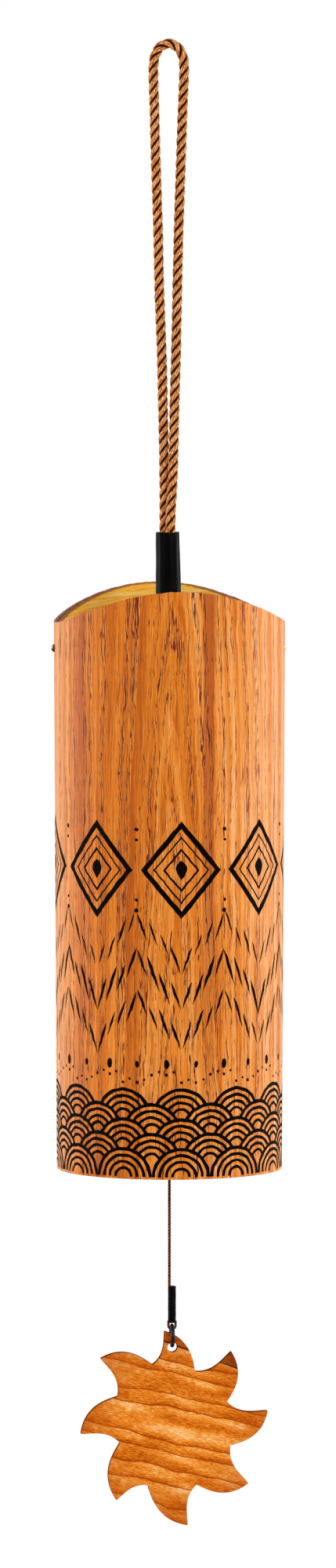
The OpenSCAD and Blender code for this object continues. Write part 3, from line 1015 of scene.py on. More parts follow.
def frayed(turn: float, share: float, rise: float, waves: float, layer: float, ends: float) -> float:
    """Roughens a sleeve's two cut ends.

    Args:
        turn: The place's turn round the sleeve.
        share: Its height as a share of the sleeve's.
        rise: How far the ends wander.
        waves: How often they wander in a turn.
        layer: The layer of the noise that they follow, which sets one sleeve apart from another.
        ends: The roughness fades over one part in this many of the sleeve.

    Returns:
        How far the place is shifted up.
    """
    near_end = max(0, share * ends - (ends - 1)) + max(0, 1 - share * ends)
    return rise * wander(turn, waves, layer) * near_end


def kept(piece: Piece, finish: Finish, body: str | None, slot: str, *nodes: str) -> Piece:
    """Dresses a new piece and ties it to its body.

    Args:
        piece: The finished object.
        finish: Its finish.
        body: The body it rides on, or None for a cord that spans two, which is then attached to neither.
        slot: The piece's material slot. Not used.
        *nodes: The solids that it stands for.

    Returns:
        The object.
    """
    piece.data.materials.clear()
    piece.data.materials.append(finish.made())
    if body:
        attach(piece, body)
    if nodes:
        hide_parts(*nodes)
    LOG.info("%s: %d faces", piece.name, len(piece.data.polygons))
    return piece


def dressed(finish: Finish, name: str) -> None:
    """Gives a carried-over solid its finish.

    Args:
        finish: The finish.
        name: The solid's node.
    """
    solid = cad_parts[name]
    solid.data.materials.clear()
    solid.data.materials.append(finish.made())
    LOG.info("%s keeps its solid", name)


# Cords


def smooth_path(route: Sequence[Sequence[float]], step: float) -> list[Vector]:
    """Runs a smooth curve through a route and puts points on it at even steps.

    Args:
        route: The route's points.
        step: The distance between the new points.

    Returns:
        The points.
    """
    knots = [Vector(p) for p in route]
    dense = []
    for i, (b, c) in enumerate(zip(knots, knots[1:])):
        a, d = knots[max(i - 1, 0)], knots[min(i + 2, len(knots) - 1)]
        count = max(2, round((c - b).length / step * 2))
        for t in (k / count for k in range(count)):
            square = (2 * a - 5 * b + 4 * c - d) * t**2
            cube = (3 * b - a - 3 * c + d) * t**3
            dense.append(0.5 * (2 * b + (c - a) * t + square + cube))
    dense.append(knots[-1])
    reach = run_along(dense)
    even = np.linspace(0, reach[-1], max(2, round(reach[-1] / step)) + 1)
    columns = [np.interp(even, reach, [p[axis] for p in dense]) for axis in range(3)]
    return [Vector(p) for p in zip(*columns)]


def run_along(path: Sequence[Vector]) -> list[float]:
    """Returns the length run at each point of a path."""
    return [float(run) for run in np.cumsum([0.0] + [(q - p).length for p, q in zip(path, path[1:])])]


@dataclass
class StrandedCord:
    """A cord of soft strands laid round each other, each pressed against its neighbours."""

    name: str
    path: list[Vector]
    diameter: float
    lay_length: float
    strands: int = 3
    sides: int = 16
    start_turn: float = 0.0
    # A strand's inner side lies this share of the way in to the cord's middle.
    depth_share: float = 0.9
    # A strand fills this share of its part of the cord's turn.
    width_share: float = 0.95
    fuzz_share: float = 0.025
    fuzz_waves: float = 4.0

    def frames(self) -> list[tuple[Vector, Vector]]:
        """Carries two directions along the path without twisting them.

        Returns:
            For each point of the path, two directions across it.
        """
        found = []
        across = Vector((1, 0, 0))
        for i in range(len(self.path)):
            ahead = self.path[min(i + 1, len(self.path) - 1)]
            along = (ahead - self.path[max(i - 1, 0)]).normalized()
            across = (across - along * across.dot(along)).normalized()
            found.append((across, along.cross(across)))
        return found

    def section(self) -> list[tuple[float, float]]:
        """Draws a strand's section.

        Returns:
            Each point's distance from the cord's middle and turn, from the outermost point round.
        """
        found = []
        for t in spread(0, FULL_TURN, self.sides)[:-1]:
            inward = (1 - math.cos(t)) / 2
            reach = self.diameter / 2 * (1 - self.depth_share * inward)
            found.append((reach, self.width_share * math.pi / self.strands * math.sin(t)))
        return found

    def strand(self, first_turn: float, rows: Sequence[float]) -> list[Vector]:
        """Sweeps one strand's section along the path.

        Args:
            first_turn: The strand's turn at the path's start.
            rows: The length run at each point of the path.

        Returns:
            The strand's points, ring by ring.
        """
        points = []
        section = self.section()
        for here, run, (across, third) in zip(self.path, rows, self.frames()):
            turn = first_turn + FULL_TURN * run / self.lay_length
            for reach, aside in section:
                out = across * math.cos(turn + aside) + third * math.sin(turn + aside)
                point = here + out * reach
                rough = noise.noise(point * self.fuzz_waves / self.diameter)
                points.append((point + out * rough * self.fuzz_share * self.diameter) * MM)
        return points

    def build(self) -> Piece:
        """Sweeps every strand and closes its ends.

        Returns:
            The cord, with a map whose U runs round each strand from its outer side.
        """
        rows = run_along(self.path)
        points, faces, marks = [], [], []
        for s in range(self.strands):
            first = len(points)
            points += self.strand(self.start_turn + FULL_TURN * s / self.strands, rows)
            for i, (low, high) in enumerate(zip(rows, rows[1:])):
                ring = first + i * self.sides
                for k in range(self.sides):
                    a, b = ring + k, ring + (k + 1) % self.sides
                    faces.append((a, b, b + self.sides, a + self.sides))
                    left, right = k / self.sides, (k + 1) / self.sides
                    marks += [(left, low), (right, low), (right, high), (left, high)]
            for ring in (first, len(points) - self.sides):
                faces.append(tuple(range(ring, ring + self.sides)))
                marks += [(0.5, rows[0])] * self.sides
        mesh = bpy.data.meshes.new(self.name)
        mesh.from_pydata(points, [], faces)
        layer = mesh.uv_layers.new(name="strand")
        layer.data.foreach_set("uv", np.array(marks, np.float32).ravel())
        piece = linked(self.name, mesh)
        with editing(piece):
            bpy.ops.mesh.normals_make_consistent(inside=False)
        return settled(piece, self.name, 60)

    def hang(
        self,
        piece: Piece,
        start: Sequence[float],
        diameter: float,
        far_end: str,
        with_pieces: Sequence[Piece] = (),
    ) -> None:
        """Args:
            piece: The built cord. Not used.
            start: Where it leaves its fitting, in metres. Not used.
            diameter: The real cord's diameter. Not used.
            far_end: What its far end is. Not used.
            with_pieces: The pieces on it. Not used.
        """
        run_along(self.path)[-1] * MM
        [p * MM for p in self.path]


# The studio


@dataclass
class Studio:
    """The camera, the lamps, the world and the floor, with its places in metres."""

    azimuth: float = -6.0
    pitch: float = 3.95
    distance: float = 2.6
    target: Vector = Vector((-0.0004, 0.0, -0.2111))
    lens: float = 207.2
    film_width: float = 36.0
    nearest: float = 0.1
    farthest: float = 50.0
    room_light: float = 0.62
    floor_z: float = -0.62
    floor_side: float = 2.0
    # Each lamp's name, place, side and watts.
    lamps: tuple[tuple[str, Triple, float, float], ...] = (
        ("key_right", (1.7, -2.3, 0.7), 1.4, 30),
        ("fill_left", (-1.9, -1.8, 0.1), 1.2, 7),
        ("edge_left", (-2.2, 0.7, -0.1), 1.0, 24),
        ("edge_right", (2.2, 0.9, -0.1), 1.0, 16),
    )

    def aimed(self, piece: Piece, place: Vector) -> None:
        """Stands a lamp or a camera at a place, facing the object.

        Args:
            piece: The lamp or camera.
            place: Where it stands.
        """
        piece.location = place
        piece.rotation_euler = (self.target - place).to_track_quat("-Z", "Y").to_euler()

    def camera(self) -> None:
        """Sets the camera at the photograph's angle, a long way off with a long lens."""
        a, e = math.radians(self.azimuth), math.radians(self.pitch)
        back = Vector((math.sin(a) * math.cos(e), -math.cos(a) * math.cos(e), math.sin(e)))
        data = bpy.data.cameras.new("photo_camera")
        data.lens, data.sensor_width = self.lens, self.film_width
        data.clip_start, data.clip_end = self.nearest, self.farthest
        camera = linked("photo_camera", data)
        self.aimed(camera, self.target + back * self.distance)
        bpy.context.scene.camera = camera

    def lamp(self, name: str, place: Triple, side: float, watts: float) -> None:
        """Adds a soft square lamp that faces the object.

        Args:
            name: The lamp's name.
            place: Where it stands.
            side: Its side.
            watts: Its power.
        """
        data = bpy.data.lights.new(name, "AREA")
        data.size, data.energy = side, watts
        self.aimed(linked(name, data), Vector(place))

    def room(self) -> None:
        """Makes the surroundings white to the eye and to gloss, and a little dimmer as light."""
        world = bpy.data.worlds.new("white_room")
        bpy.context.scene.world = world
        world.use_nodes = True
        world.node_tree.nodes.clear()
        add = Graph(world.node_tree).add
        seen = add(Node.RAYS, out="Is Camera Ray")
        for kind in ("Is Glossy Ray", "Is Transmission Ray"):
            seen = add(Node.LARGER, seen, add(Node.RAYS, out=kind))
        level = add(Node.RANGE, seen, 0.0, 1.0, self.room_light, 1.0)
        add(Node.ROOM, add(Node.LIGHT, "#FFFFFF", level))

    def floor(self) -> None:
        """Lays a pale floor below the sail, short of the photograph's frame."""
        bpy.ops.mesh.primitive_plane_add(size=self.floor_side, location=(0, 0, self.floor_z))
        piece = settled(bpy.context.object, "studio_floor")
        piece.data.materials.append(PaleFloor().made())

    def build(self) -> None:
        """Sets up the whole studio."""
        bpy.context.scene.view_settings.view_transform = "Standard"
        self.camera()
        for lamp in self.lamps:
            self.lamp(*lamp)
        self.room()
        self.floor()
        LOG.info("studio ready")


# The object's pieces


@dataclass
class HangingRope:
    """The rope loop, its sleeve and its turn round the crossbar."""

    heights: Heights = Heights()
    diameter: float = 2.85
    lay_length: float = 9.4
    step: float = 0.4
    # The loop's soft yarn stands a little proud of the solid.
    bulge: float = 1.055
    lean: float = math.radians(1)
    sleeve_top: float = -138.5
    sleeve_length: float = 25.5
    sleeve_r: float = 3.6
    sleeve_wall: float = 0.5
    leg_r: float = 1.55
    leg_top_turn: float = math.radians(-62)
    leg_bottom_turn: float = math.radians(-90)
    leg_steps: int = 5
    bight_r: float = 4.025
    bight_steps: int = 12
    # Each crease's turn and width round the sleeve, and its height.
    creases: tuple[Triple, ...] = (
        (-0.62, 0.1, -0.12), (-0.3, 0.16, 0.1), (-2.6, 0.14, -0.1), (1.2, 0.12, -0.1),
    )
    route: tuple[Triple, ...] = (
        (-1.3, 1.37, -138.5), (-1.3, 1.3, -133), (-1.4, 1, -121), (-1.8, 0.6, -103),
        (-2.2, 0.25, -87), (-2.9, 0, -69), (-3.3, 0, -51), (-3.9, 0, -33), (-4.3, 0, -18),
        (-4.6, 0, -8), (-4.5, 0, -4), (-4, 0, -1.6), (-2.9, 0, 0.3), (-1.6, 0, 1.2),
        (-0.3, 0, 1.5), (1.2, 0, 1.2), (2.5, 0, 0.3), (3.7, 0, -1.6), (4.2, 0, -4),
        (4.2, 0, -8), (3.8, 0, -18), (3.3, 0, -33), (2.7, 0, -51), (2.3, 0, -69),
        (1.9, -0.25, -87), (1.4, -0.6, -103), (0.95, -1, -121), (0.3, -1.3, -133),
        (0.15, -1.37, -138.5),
    )

    def leaned(self, point: Vector) -> Vector:
        """Leans a point to the left about the crossbar."""
        pivot = Vector((0, 0, self.heights.bar))
        return pivot + Matrix.Rotation(-self.lean, 3, "Y") @ (point - pivot)

    def loop(self, sleeve: Piece) -> None:
        """Lays the rope's three strands over the crown.

        Args:
            sleeve: The sleeve, which is a piece on the rope.
        """
        path = smooth_path(self.route, self.step)
        cord = StrandedCord("rope_loop", path, self.diameter * self.bulge, self.lay_length)
        piece = kept(cord.build(), TwistedYarn(), "hanger", "rope", "hanging_rope")
        cord.hang(piece, [c * MM for c in self.route[0]], self.diameter, "object", [sleeve])

    def leg(self, side: Side) -> list[Vector]:
        """Lays one leg inside the sleeve.

        Args:
            side: The leg's side.

        Returns:
            Its points from its top down.
        """
        turns = spread(self.leg_top_turn, self.leg_bottom_turn, self.leg_steps)
        heights = spread(self.sleeve_top, self.sleeve_top - self.sleeve_length, self.leg_steps)
        return [polar(side.value * self.leg_r, turn, z) for turn, z in zip(turns, heights)]

    def turn(self) -> None:
        """Lays the rope's legs in the sleeve and its turn round the crossbar."""
        under = [
            Vector((0, -self.bight_r * math.cos(a), self.heights.bar - self.bight_r * math.sin(a)))
            for a in spread(0, math.pi, self.bight_steps)
        ]
        route = self.leg(Side.RIGHT) + under + self.leg(Side.LEFT)[::-1]
        path = smooth_path([self.leaned(p) for p in route], self.step)
        cord = StrandedCord("rope_turn", path, self.diameter, self.lay_length)
        kept(cord.build(), TwistedYarn(), "hanger", "rope", "rope_bight")

    def shrunk(self, point: Vector) -> Vector:
        """Draws the sleeve in to the two legs and folds its creases.

        Args:
            point: The point on the round sleeve.

        Returns:
            Its new place.
        """
        turn = math.atan2(point.y, point.x)
        share = (point.z - self.sleeve_top) / self.sleeve_length + 1
        oval = 1 - 0.035 * math.cos(2 * (turn - math.radians(-20 + 25 * share)))
        crease = sum(
            depth * math.exp(-((math.remainder(turn - at, FULL_TURN) / width) ** 2))
            for at, width, depth in self.creases
        )
        drawn = self.sleeve_r - 0.12 + 0.42 * min(1 - share, 0.75)
        reach = drawn * oval + crease + 0.08 * wander(turn, 2, share * 5)
        drop = frayed(turn, share, rise=0.25, waves=3, layer=7, ends=8)
        return self.leaned(polar(reach, turn, point.z + drop))

    def sleeve(self) -> Piece:
        """Shrinks a sleeve over both legs, with soft creases down its sides.

        Returns:
            The sleeve.
        """
        low = self.sleeve_top - self.sleeve_length
        piece = tubing(72, self.sleeve_r, self.sleeve_top, low, Vector(), "NOTHING")
        with editing(piece):
            bpy.ops.mesh.subdivide(number_cuts=1, quadcorner="INNERVERT")
        applied(piece, "SUBSURF", subdivision_type="SIMPLE", levels=2, render_levels=2)
        shaped(piece, self.shrunk)
        applied(piece, "SOLIDIFY", thickness=self.sleeve_wall * MM, offset=-1.0)
        settled(eased(piece, 0.12, 2), "rope_sleeve_skin", 45)
        return kept(piece, ShrinkSleeve(), "hanger", "shrink_sleeve", "rope_sleeve")

    def build(self) -> None:
        """Builds the rope's pieces."""
        self.loop(self.sleeve())
        self.turn()


@dataclass
class ThinCord:
    """The thin cord that carries the clapper and the sail, from its yoke to its last loop."""

    heights: Heights = Heights()
    diameter: float = 0.9
    lay_length: float = 2.6
    step: float = 0.22
    crossbar_d: float = 5.0
    yoke_gap: float = 0.1
    yoke_drop: float = 10.5
    yoke_half_w: float = 2.4
    elbow_drop: float = 6.35
    strand_gap: float = 0.54
    knot_d: float = 2.6
    knot_overlap: float = 0.8
    disc_bottom: float = -277.2
    # The real cord bends in the middle of the plate's hole, where the two straight cords meet: above it, and
    # then below it.
    bend: float = -316.1
    bend_above: tuple[float, float] = (-314.1, -315.6)
    bend_below: tuple[float, float] = (-316.6, -318.1)
    sleeve_top: float = -356.7
    sleeve_length: float = 10.6
    sleeve_r: float = 1.2
    sleeve_overlap: float = 0.5
    sleeve_cuts: int = 13
    tail_x: float = 0.75
    loop_half_w: float = 1.05
    loop_leg_h: float = 0.85
    loop_overlap: float = 0.6
    loop_d: float = 0.75
    loop_lay: float = 2.2
    arc_steps: int = 12
    finish: TwistedYarn = TwistedYarn(
        name="brown_thin_cord", dark="#2A0C02", middle="#7C3410", light="#C07038",
        threads=5, thread_pitch=1.5,
    )

    def laid(self, name: str, route: Sequence[Sequence[float]], **more: float) -> StrandedCord:
        """Lays thin cord along a route.

        Args:
            name: The cord's name.
            route: Its route.
            **more: What differs from the cord's own measures, or the path's step.

        Returns:
            The cord, not built yet.
        """
        path = smooth_path(route, more.pop("step", self.step))
        measures = {"diameter": self.diameter, "lay_length": self.lay_length, **more}
        return StrandedCord(name, path, sides=10, **measures)

    def straight(self, name: str, high: float, low: float) -> StrandedCord:
        """Lays a straight cord down the middle, whose strands line up with its neighbours'.

        Args:
            name: The cord's name.
            high: Its top.
            low: Its bottom.

        Returns:
            The cord, not built yet.
        """
        turn = -(FULL_TURN * (self.heights.bar - high) / self.lay_length)
        return self.laid(name, [(0, 0, high), (0, 0, (high + low) / 2), (0, 0, low)], start_turn=turn)

    def knot(self, name: str, z: float) -> Piece:
        """Ties an overhand knot as big as the solid's.

        Args:
            name: The piece's name.
            z: The knot's middle.

        Returns:
            The knot.
        """
        # The trefoil's widest point lies three of its units from its middle.
        unit = (self.knot_d - self.diameter) / 2 / 3
        ring = [
            Vector((
                unit * (math.sin(t) + 2 * math.sin(2 * t)),
                unit * (math.cos(t) - 2 * math.cos(2 * t)),
                z - unit * 1.5 * math.sin(3 * t),
            ))
            for t in spread(0, FULL_TURN, 4 * self.arc_steps)
        ]
        return self.laid(name, ring, step=0.2, diameter=self.diameter * 0.95).build()

    def yoke(self) -> None:
        """Winds the cord twice round the crossbar and knots it."""
        bar = self.heights.bar
        low, elbow = bar - self.yoke_drop, bar - self.elbow_drop
        reach = self.crossbar_d / 2 + self.diameter / 2 + self.yoke_gap
        pieces = []
        for side in Side:
            x, y = side.value * self.yoke_half_w, self.strand_gap
            over = [
                (x, reach * math.cos(a), bar + reach * math.sin(a))
                for a in spread(math.radians(200), math.radians(-20), self.arc_steps)
            ]
            start, end = (side.value * y, -y, low), (side.value * y, y, low)
            route = [start, (x, -y, elbow), *over, (x, y, elbow), end]
            pieces.append(self.laid(f"turn_{side.name}", route).build())
        pieces.append(self.knot("yoke_knot", low))
        piece = settled(united(pieces), "cord_yoke", 60)
        kept(piece, self.finish, "yoke", "cord", "clapper_yoke")

    def hang(self) -> None:
        """Hangs the clapper's cord and the tail's, which meet in the plate's hole."""
        top = self.heights.bar - self.yoke_drop - self.knot_overlap
        upper = self.straight("clapper_line", top, self.bend)
        piece = kept(upper.build(), self.finish, None, "cord", "clapper_cord")
        start, end = (Vector((0, 0, z * MM)) for z in self.bend_above)
        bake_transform(piece)
        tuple(start)
        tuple(end)
        upper.hang(piece, upper.path[0] * MM, self.diameter, "object")
        stop = self.knot("clapper_stop_knot", self.disc_bottom - self.knot_d / 2)
        kept(stop, self.finish, "clapper", "cord", "clapper_knot")
        sleeve = self.tail_sleeve()
        lower = self.straight("tail_line", self.bend, self.sleeve_top - self.sleeve_overlap)
        piece = kept(lower.build(), self.finish, None, "cord", "tail_cord", "cord_bend")
        start, end = (Vector((0, 0, z * MM)) for z in self.bend_below)
        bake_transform(piece)
        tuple(start)
        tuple(end)
        lower.hang(piece, lower.path[0] * MM, self.diameter, "fitting", [sleeve])

    def shrunk(self, point: Vector) -> Vector:
        """Draws the tail's sleeve in between the two cords and roughens its ends.

        Args:
            point: The point on the round sleeve.

        Returns:
            Its new place.
        """
        middle = Vector((self.tail_x, 0, 0))
        x, y = point.x - self.tail_x, point.y
        turn = math.atan2(y, x)
        share = (point.z - self.sleeve_top) / self.sleeve_length + 1
        reach = math.hypot(x, y) * (1 - 0.04 * math.cos(2 * turn + 0.5))
        reach *= 1 + 0.05 * wander(turn, 1, share * 6)
        drop = frayed(turn, share, rise=0.2, waves=2, layer=3, ends=10)
        return middle + polar(reach, turn, point.z + drop)

    def tail_sleeve(self) -> Piece:
        """Shrinks a thin sleeve over the cord and its turned-back end.

        Returns:
            The sleeve.
        """
        low = self.sleeve_top - self.sleeve_length
        piece = tubing(40, self.sleeve_r, self.sleeve_top, low, Vector((self.tail_x, 0, 0)))
        with editing(piece):
            for z in spread(low, self.sleeve_top, self.sleeve_cuts + 1)[1:-1]:
                bpy.ops.mesh.select_all(action="SELECT")
                bpy.ops.mesh.bisect(plane_co=(0, 0, z * MM), plane_no=(0, 0, 1))
        shaped(piece, self.shrunk)
        settled(eased(piece, 0.15, 3), "tail_sleeve_skin", 50)
        return kept(piece, ShrinkSleeve(), "tail_end", "shrink_sleeve", "tail_sleeve")

    def loop(self) -> None:
        """Turns the cord's end back through a loop that holds the link ring."""
        low = self.sleeve_top - self.sleeve_length
        high, half = low + self.loop_overlap, self.loop_half_w
        under = [
            (self.tail_x - half * math.cos(a), 0, low - self.loop_leg_h - half * math.sin(a))
            for a in spread(0, math.pi, self.arc_steps)
        ]
        route = [(self.tail_x - half, 0, high), *under, (self.tail_x + half, 0, high)]
        cord = self.laid("cord_end_loop", route, step=0.15, diameter=self.loop_d, lay_length=self.loop_lay)
        kept(cord.build(), self.finish, "tail_end", "cord", "tail_loop")

    def build(self) -> None:
        """Builds the thin cord's pieces."""
        self.yoke()
        self.hang()
        self.loop()


@dataclass
class Tube:
    """The laminated tube: an oak veneer over golden plies, with a wavy top rim."""

    heights: Heights = Heights()
    around: int = 288
    high: int = 60
    edge: float = 0.1
    veneer_saw: float = 0.12
    ply_saw: float = 0.22

    def sheet(self, radius: float, thickness: float, name: str, rough: float) -> Piece:
        """Wraps a flat sheet of wood round and cuts its rim.

        Args:
            radius: The sheet's outer radius.
            thickness: The sheet's thickness, inwards.
            name: The piece's name.
            rough: How far the sawn rim wanders.

        Returns:
            The wall.
        """
        heights = self.heights

        def bent(point: Vector) -> Vector:
            """Bends the sheet round the tube's axis.

            Args:
                point: The point on a flat square of side 1.

            Returns:
                Its place on the tube.
            """
            turn = (point.x + 0.5) * FULL_TURN + math.pi / 2
            saw = rough * (wander(turn, 14, 3) + wander(turn, 40, 8) * 0.6)
            top = heights.rim(turn) + saw - rough
            z = heights.foot + (point.y + 0.5) * (top - heights.foot)
            return polar(radius + heights.widening(z), turn, z)

        bpy.ops.mesh.primitive_grid_add(x_subdivisions=self.around, y_subdivisions=self.high, size=MM)
        piece = wrapped(bpy.context.object, bent)
        applied(piece, "SOLIDIFY", thickness=thickness * MM, offset=-1.0)
        return settled(eased(piece, self.edge, 2), name)

    def build(self) -> None:
        """Builds both walls."""
        h = self.heights
        veneer = self.sheet(h.tube_r, h.veneer, "veneer_wall", self.veneer_saw)
        kept(veneer, OakVeneer(), "resonator", "veneer", "outer_veneer")
        plies = self.sheet(h.tube_r - h.veneer, h.ply, "ply_wall", self.ply_saw)
        kept(plies, GoldenPly(), "resonator", "ply", "inner_ply")


@dataclass
class BandPrint:
    """The black print round the tube: wave scales, dots, lozenges, slanted strokes and diamonds."""

    heights: Heights = Heights()
    proud: float = 0.03
    wobble: float = 0.22
    wobble_waves: float = 0.5
    # The edge wobbles aside by one layer of the noise and up by another, the same at every run.
    wobble_layers: tuple[float, float] = (5.0, 25.0)
    foot_gap: float = 0.7
    scales_round: int = 12
    rows: int = 5
    # Each arc of a scale, as outer and inner shares of its radius.
    arc_shares: tuple[tuple[float, float], ...] = ((1.0, 0.88), (0.78, 0.67), (0.56, 0.46), (0.34, 0.24))
    cover_share: float = 0.95
    # The rim of so large a circle is nearly a straight line.
    far: float = 1000.0
    dot_d: float = 0.9
    dots_each: int = 4
    dots_above: float = 1.6
    dots_rise: float = 0.9
    dots_step: float = 2.2
    lozenge: tuple[float, float] = (3.0, 1.7)
    lozenges_above: float = 6.8
    strokes_above: float = 15.1
    stroke_lean: float = 19.0
    strokes_each: int = 4
    stroke_rise: float = 3.1
    stroke_drop: float = 1.3
    stroke_row: float = 11.4
    strokes: tuple[tuple[float, float], ...] = ((9.0, 0.9), (10.5, 1.05), (8.0, 0.75))
    frieze_z: float = -233.5
    diamonds_round: int = 8
    diamond_gap: float = 2.4
    diamond_high: float = 28.0
    diamond_inner: float = 0.84
    # Each smaller diamond's width and height, and its inner outline as a share of its outer one.
    small_diamonds: tuple[Triple, ...] = ((16.0, 19.4, 0.93), (10.4, 12.6, 0.86))
    heart: tuple[float, float] = (5.4, 3.2)
    frieze_dot_d: float = 1.3
    # Each dot between two diamonds, as its height from the frieze's middle and its size.
    frieze_dots: tuple[tuple[float, float], ...] = ((11.6, 1.0), (8.6, 0.7), (-8.6, 0.7), (-11.6, 1.0))

    def across(self, count: int) -> list[float]:
        """Returns even places for a number of copies round the tube."""
        return [(i - count / 2) * FULL_TURN * self.heights.tube_r / count for i in range(count)]

    def ring(
        self, outer: float, inner: float, covers: Iterable[tuple[float, float]], cover_r: float
    ) -> Piece:
        """Draws one flat ring and cuts away what lower scales cover.

        Args:
            outer: The ring's outer radius.
            inner: The ring's inner radius.
            covers: The middles of the scales that lie over this one.
            cover_r: The radius that those scales hide.

        Returns:
            The ring's remaining arc.
        """
        bpy.ops.mesh.primitive_circle_add(vertices=128, radius=outer * MM)
        piece = bpy.context.object
        with editing(piece):
            bpy.ops.mesh.extrude_edges_move()
            bpy.ops.transform.resize(value=(inner / outer,) * 3)
            bpy.ops.mesh.select_mode(type="FACE")
            bpy.ops.mesh.select_all(action="DESELECT")
        for face in piece.data.polygons:
            x, y = face.center.x / MM, face.center.y / MM
            face.select = any(math.hypot(x - cx, y - cy) < cover_r for cx, cy in covers)
        with editing(piece, whole=False):
            bpy.ops.mesh.delete(type="FACE")
        return piece

    def scale(self, radius: float, lowest: bool) -> Piece:
        """Draws one wave scale of four arcs.

        Args:
            radius: The scale's radius.
            lowest: Whether the foot cuts the scale in half.

        Returns:
            The flat scale.
        """
        covers = [(-radius, -radius / 2), (radius, -radius / 2), (0.0, -radius)]
        cover_r = radius * self.cover_share
        if lowest:
            covers, cover_r = [(0.0, -self.far)], self.far
        return united([self.ring(radius * o, radius * i, covers, cover_r) for o, i in self.arc_shares])

    def mark(self, length: float, breadth: float) -> Piece:
        """Draws one dot, or a lozenge where it is long.

        Args:
            length: How tall it stands.
            breadth: Its width.

        Returns:
            The flat mark.
        """
        bpy.ops.mesh.primitive_circle_add(vertices=8, radius=MM, fill_type="NGON")
        bpy.ops.transform.resize(value=(breadth / 2, length / 2, 1))
        bpy.ops.object.transform_apply(scale=True)
        return bpy.context.object

    def stroke(self, length: float, breadth: float, lean: float) -> Piece:
        """Draws one slanted stroke that swells below its middle.

        Args:
            length: How tall it stands.
            breadth: Its greatest width.
            lean: Its lean to the right, in degrees.

        Returns:
            The flat stroke.
        """

        def swollen(point: Vector) -> Vector:
            """Tapers the strip to both ends and leans it.

            Args:
                point: The point on a flat square of side 1.

            Returns:
                Its place on the stroke.
            """
            swell = max(0.04, math.sin(math.pi * (point.y + 0.5) ** 1.25) ** 0.7)
            up = length * point.y
            return Vector((point.x * breadth * swell + up * math.tan(math.radians(lean)), up, 0))

        bpy.ops.mesh.primitive_grid_add(x_subdivisions=2, y_subdivisions=12, size=MM)
        return shaped(bpy.context.object, swollen)

    def diamond(self, wide: float, high: float, inner: float) -> Piece:
        """Draws a diamond's outline.

        Args:
            wide: Its width.
            high: Its height.
            inner: The inner outline as a share of the outer one.

        Returns:
            The flat outline.
        """
        bpy.ops.mesh.primitive_circle_add(vertices=4, radius=MM)
        piece = bpy.context.object
        with editing(piece):
            bpy.ops.mesh.subdivide(number_cuts=15)
            bpy.ops.mesh.extrude_edges_move()
            bpy.ops.transform.resize(value=(inner,) * 3)
        return shaped(piece, lambda point: Vector((point.x * wide / 2, point.y * high / 2, 0)))

    def copies(self, motif: Piece, places: Iterable[Triple]) -> list[Piece]:
        """Copies a motif to each place and removes the pattern piece.

        Args:
            motif: The flat motif.
            places: Across, up and size for each copy.

        Returns:
            The copies.
        """
        found = []
        for across, up, size in places:
            other = linked(motif.name, motif.data.copy())
            sized = Matrix.Diagonal((size, size, 1, 1))
            other.data.transform(Matrix.Translation((across * MM, up * MM, 0)) @ sized)
            found.append(other)
        bpy.data.objects.remove(motif)
        return found

    def waves(self, radius: float, foot: float) -> list[Piece]:
        """Draws the rows of wave scales, each row half a scale aside from the last.

        Args:
            radius: A scale's radius.
            foot: The lowest row's height.

        Returns:
            The scales.
        """
        found = []
        for row in range(self.rows):
            shift, up = radius * (row % 2), foot + row * radius / 2
            places = [(x + shift, up, 1.0) for x in self.across(self.scales_round)]
            found += self.copies(self.scale(radius, row == 0), places)
        return found

    def edging(self, crest: float) -> list[Piece]:
        """Draws a zigzag of dots over the waves and a row of lozenges over that.

        Args:
            crest: The waves' highest point.

        Returns:
            The dots and the lozenges.
        """
        middles = self.across(self.scales_round * 2)
        step = middles[1] - middles[0]
        dots = []
        for i, x in enumerate(middles):
            for k in range(self.dots_each):
                up = crest + self.dots_above + self.dots_rise * (k % 2) + self.dots_step * (i % 2)
                dots.append((x + step * k / self.dots_each, up, 1.0 - 0.15 * (k % 2)))
        found = self.copies(self.mark(self.dot_d, self.dot_d), dots)
        up = crest + self.lozenges_above
        places = [(x + step / 2, up, 1.0 if i % 2 else 0.7) for i, x in enumerate(middles)]
        return found + self.copies(self.mark(*self.lozenge), places)

    def chevrons(self, low: float) -> list[Piece]:
        """Draws rows of slanted strokes that meet under each diamond.

        Args:
            low: The lowest row's height.

        Returns:
            The strokes.
        """
        found = []
        middles = self.across(self.diamonds_round)
        gap = (middles[1] - middles[0]) / self.strokes_each / 2
        for side in Side:
            for row, (length, breadth) in enumerate(self.strokes):
                places = []
                for i, x in enumerate(middles):
                    for k in range(self.strokes_each):
                        # Every third stroke sits lower, and their sizes change from one to the next.
                        drop = self.stroke_drop if (i + k + row) % 3 == 0 else 0.0
                        up = low + row * self.stroke_row + k * self.stroke_rise - drop
                        size = 1.0 - 0.12 * ((i + 2 * k + row) % 3)
                        places.append((x + side.value * (k + 0.5) * gap, up, size))
                found += self.copies(self.stroke(length, breadth, side.value * self.stroke_lean), places)
        return found

    def frieze(self) -> list[Piece]:
        """Draws the diamonds, each in two outlines round a lozenge, with dots between.

        Returns:
            The frieze's pieces.
        """
        middles = self.across(self.diamonds_round)
        pitch = middles[1] - middles[0]
        places = [(x, self.frieze_z, 1.0) for x in middles]
        large = (pitch - self.diamond_gap, self.diamond_high, self.diamond_inner)
        found = []
        for wide, high, inner in (large, *self.small_diamonds):
            found += self.copies(self.diamond(wide, high, inner), places)
        found += self.copies(self.stroke(*self.heart, 0.0), places)
        for up, size in self.frieze_dots:
            between = [(x + pitch / 2, self.frieze_z + up, size) for x in middles]
            found += self.copies(self.mark(self.frieze_dot_d, self.frieze_dot_d), between)
        return found

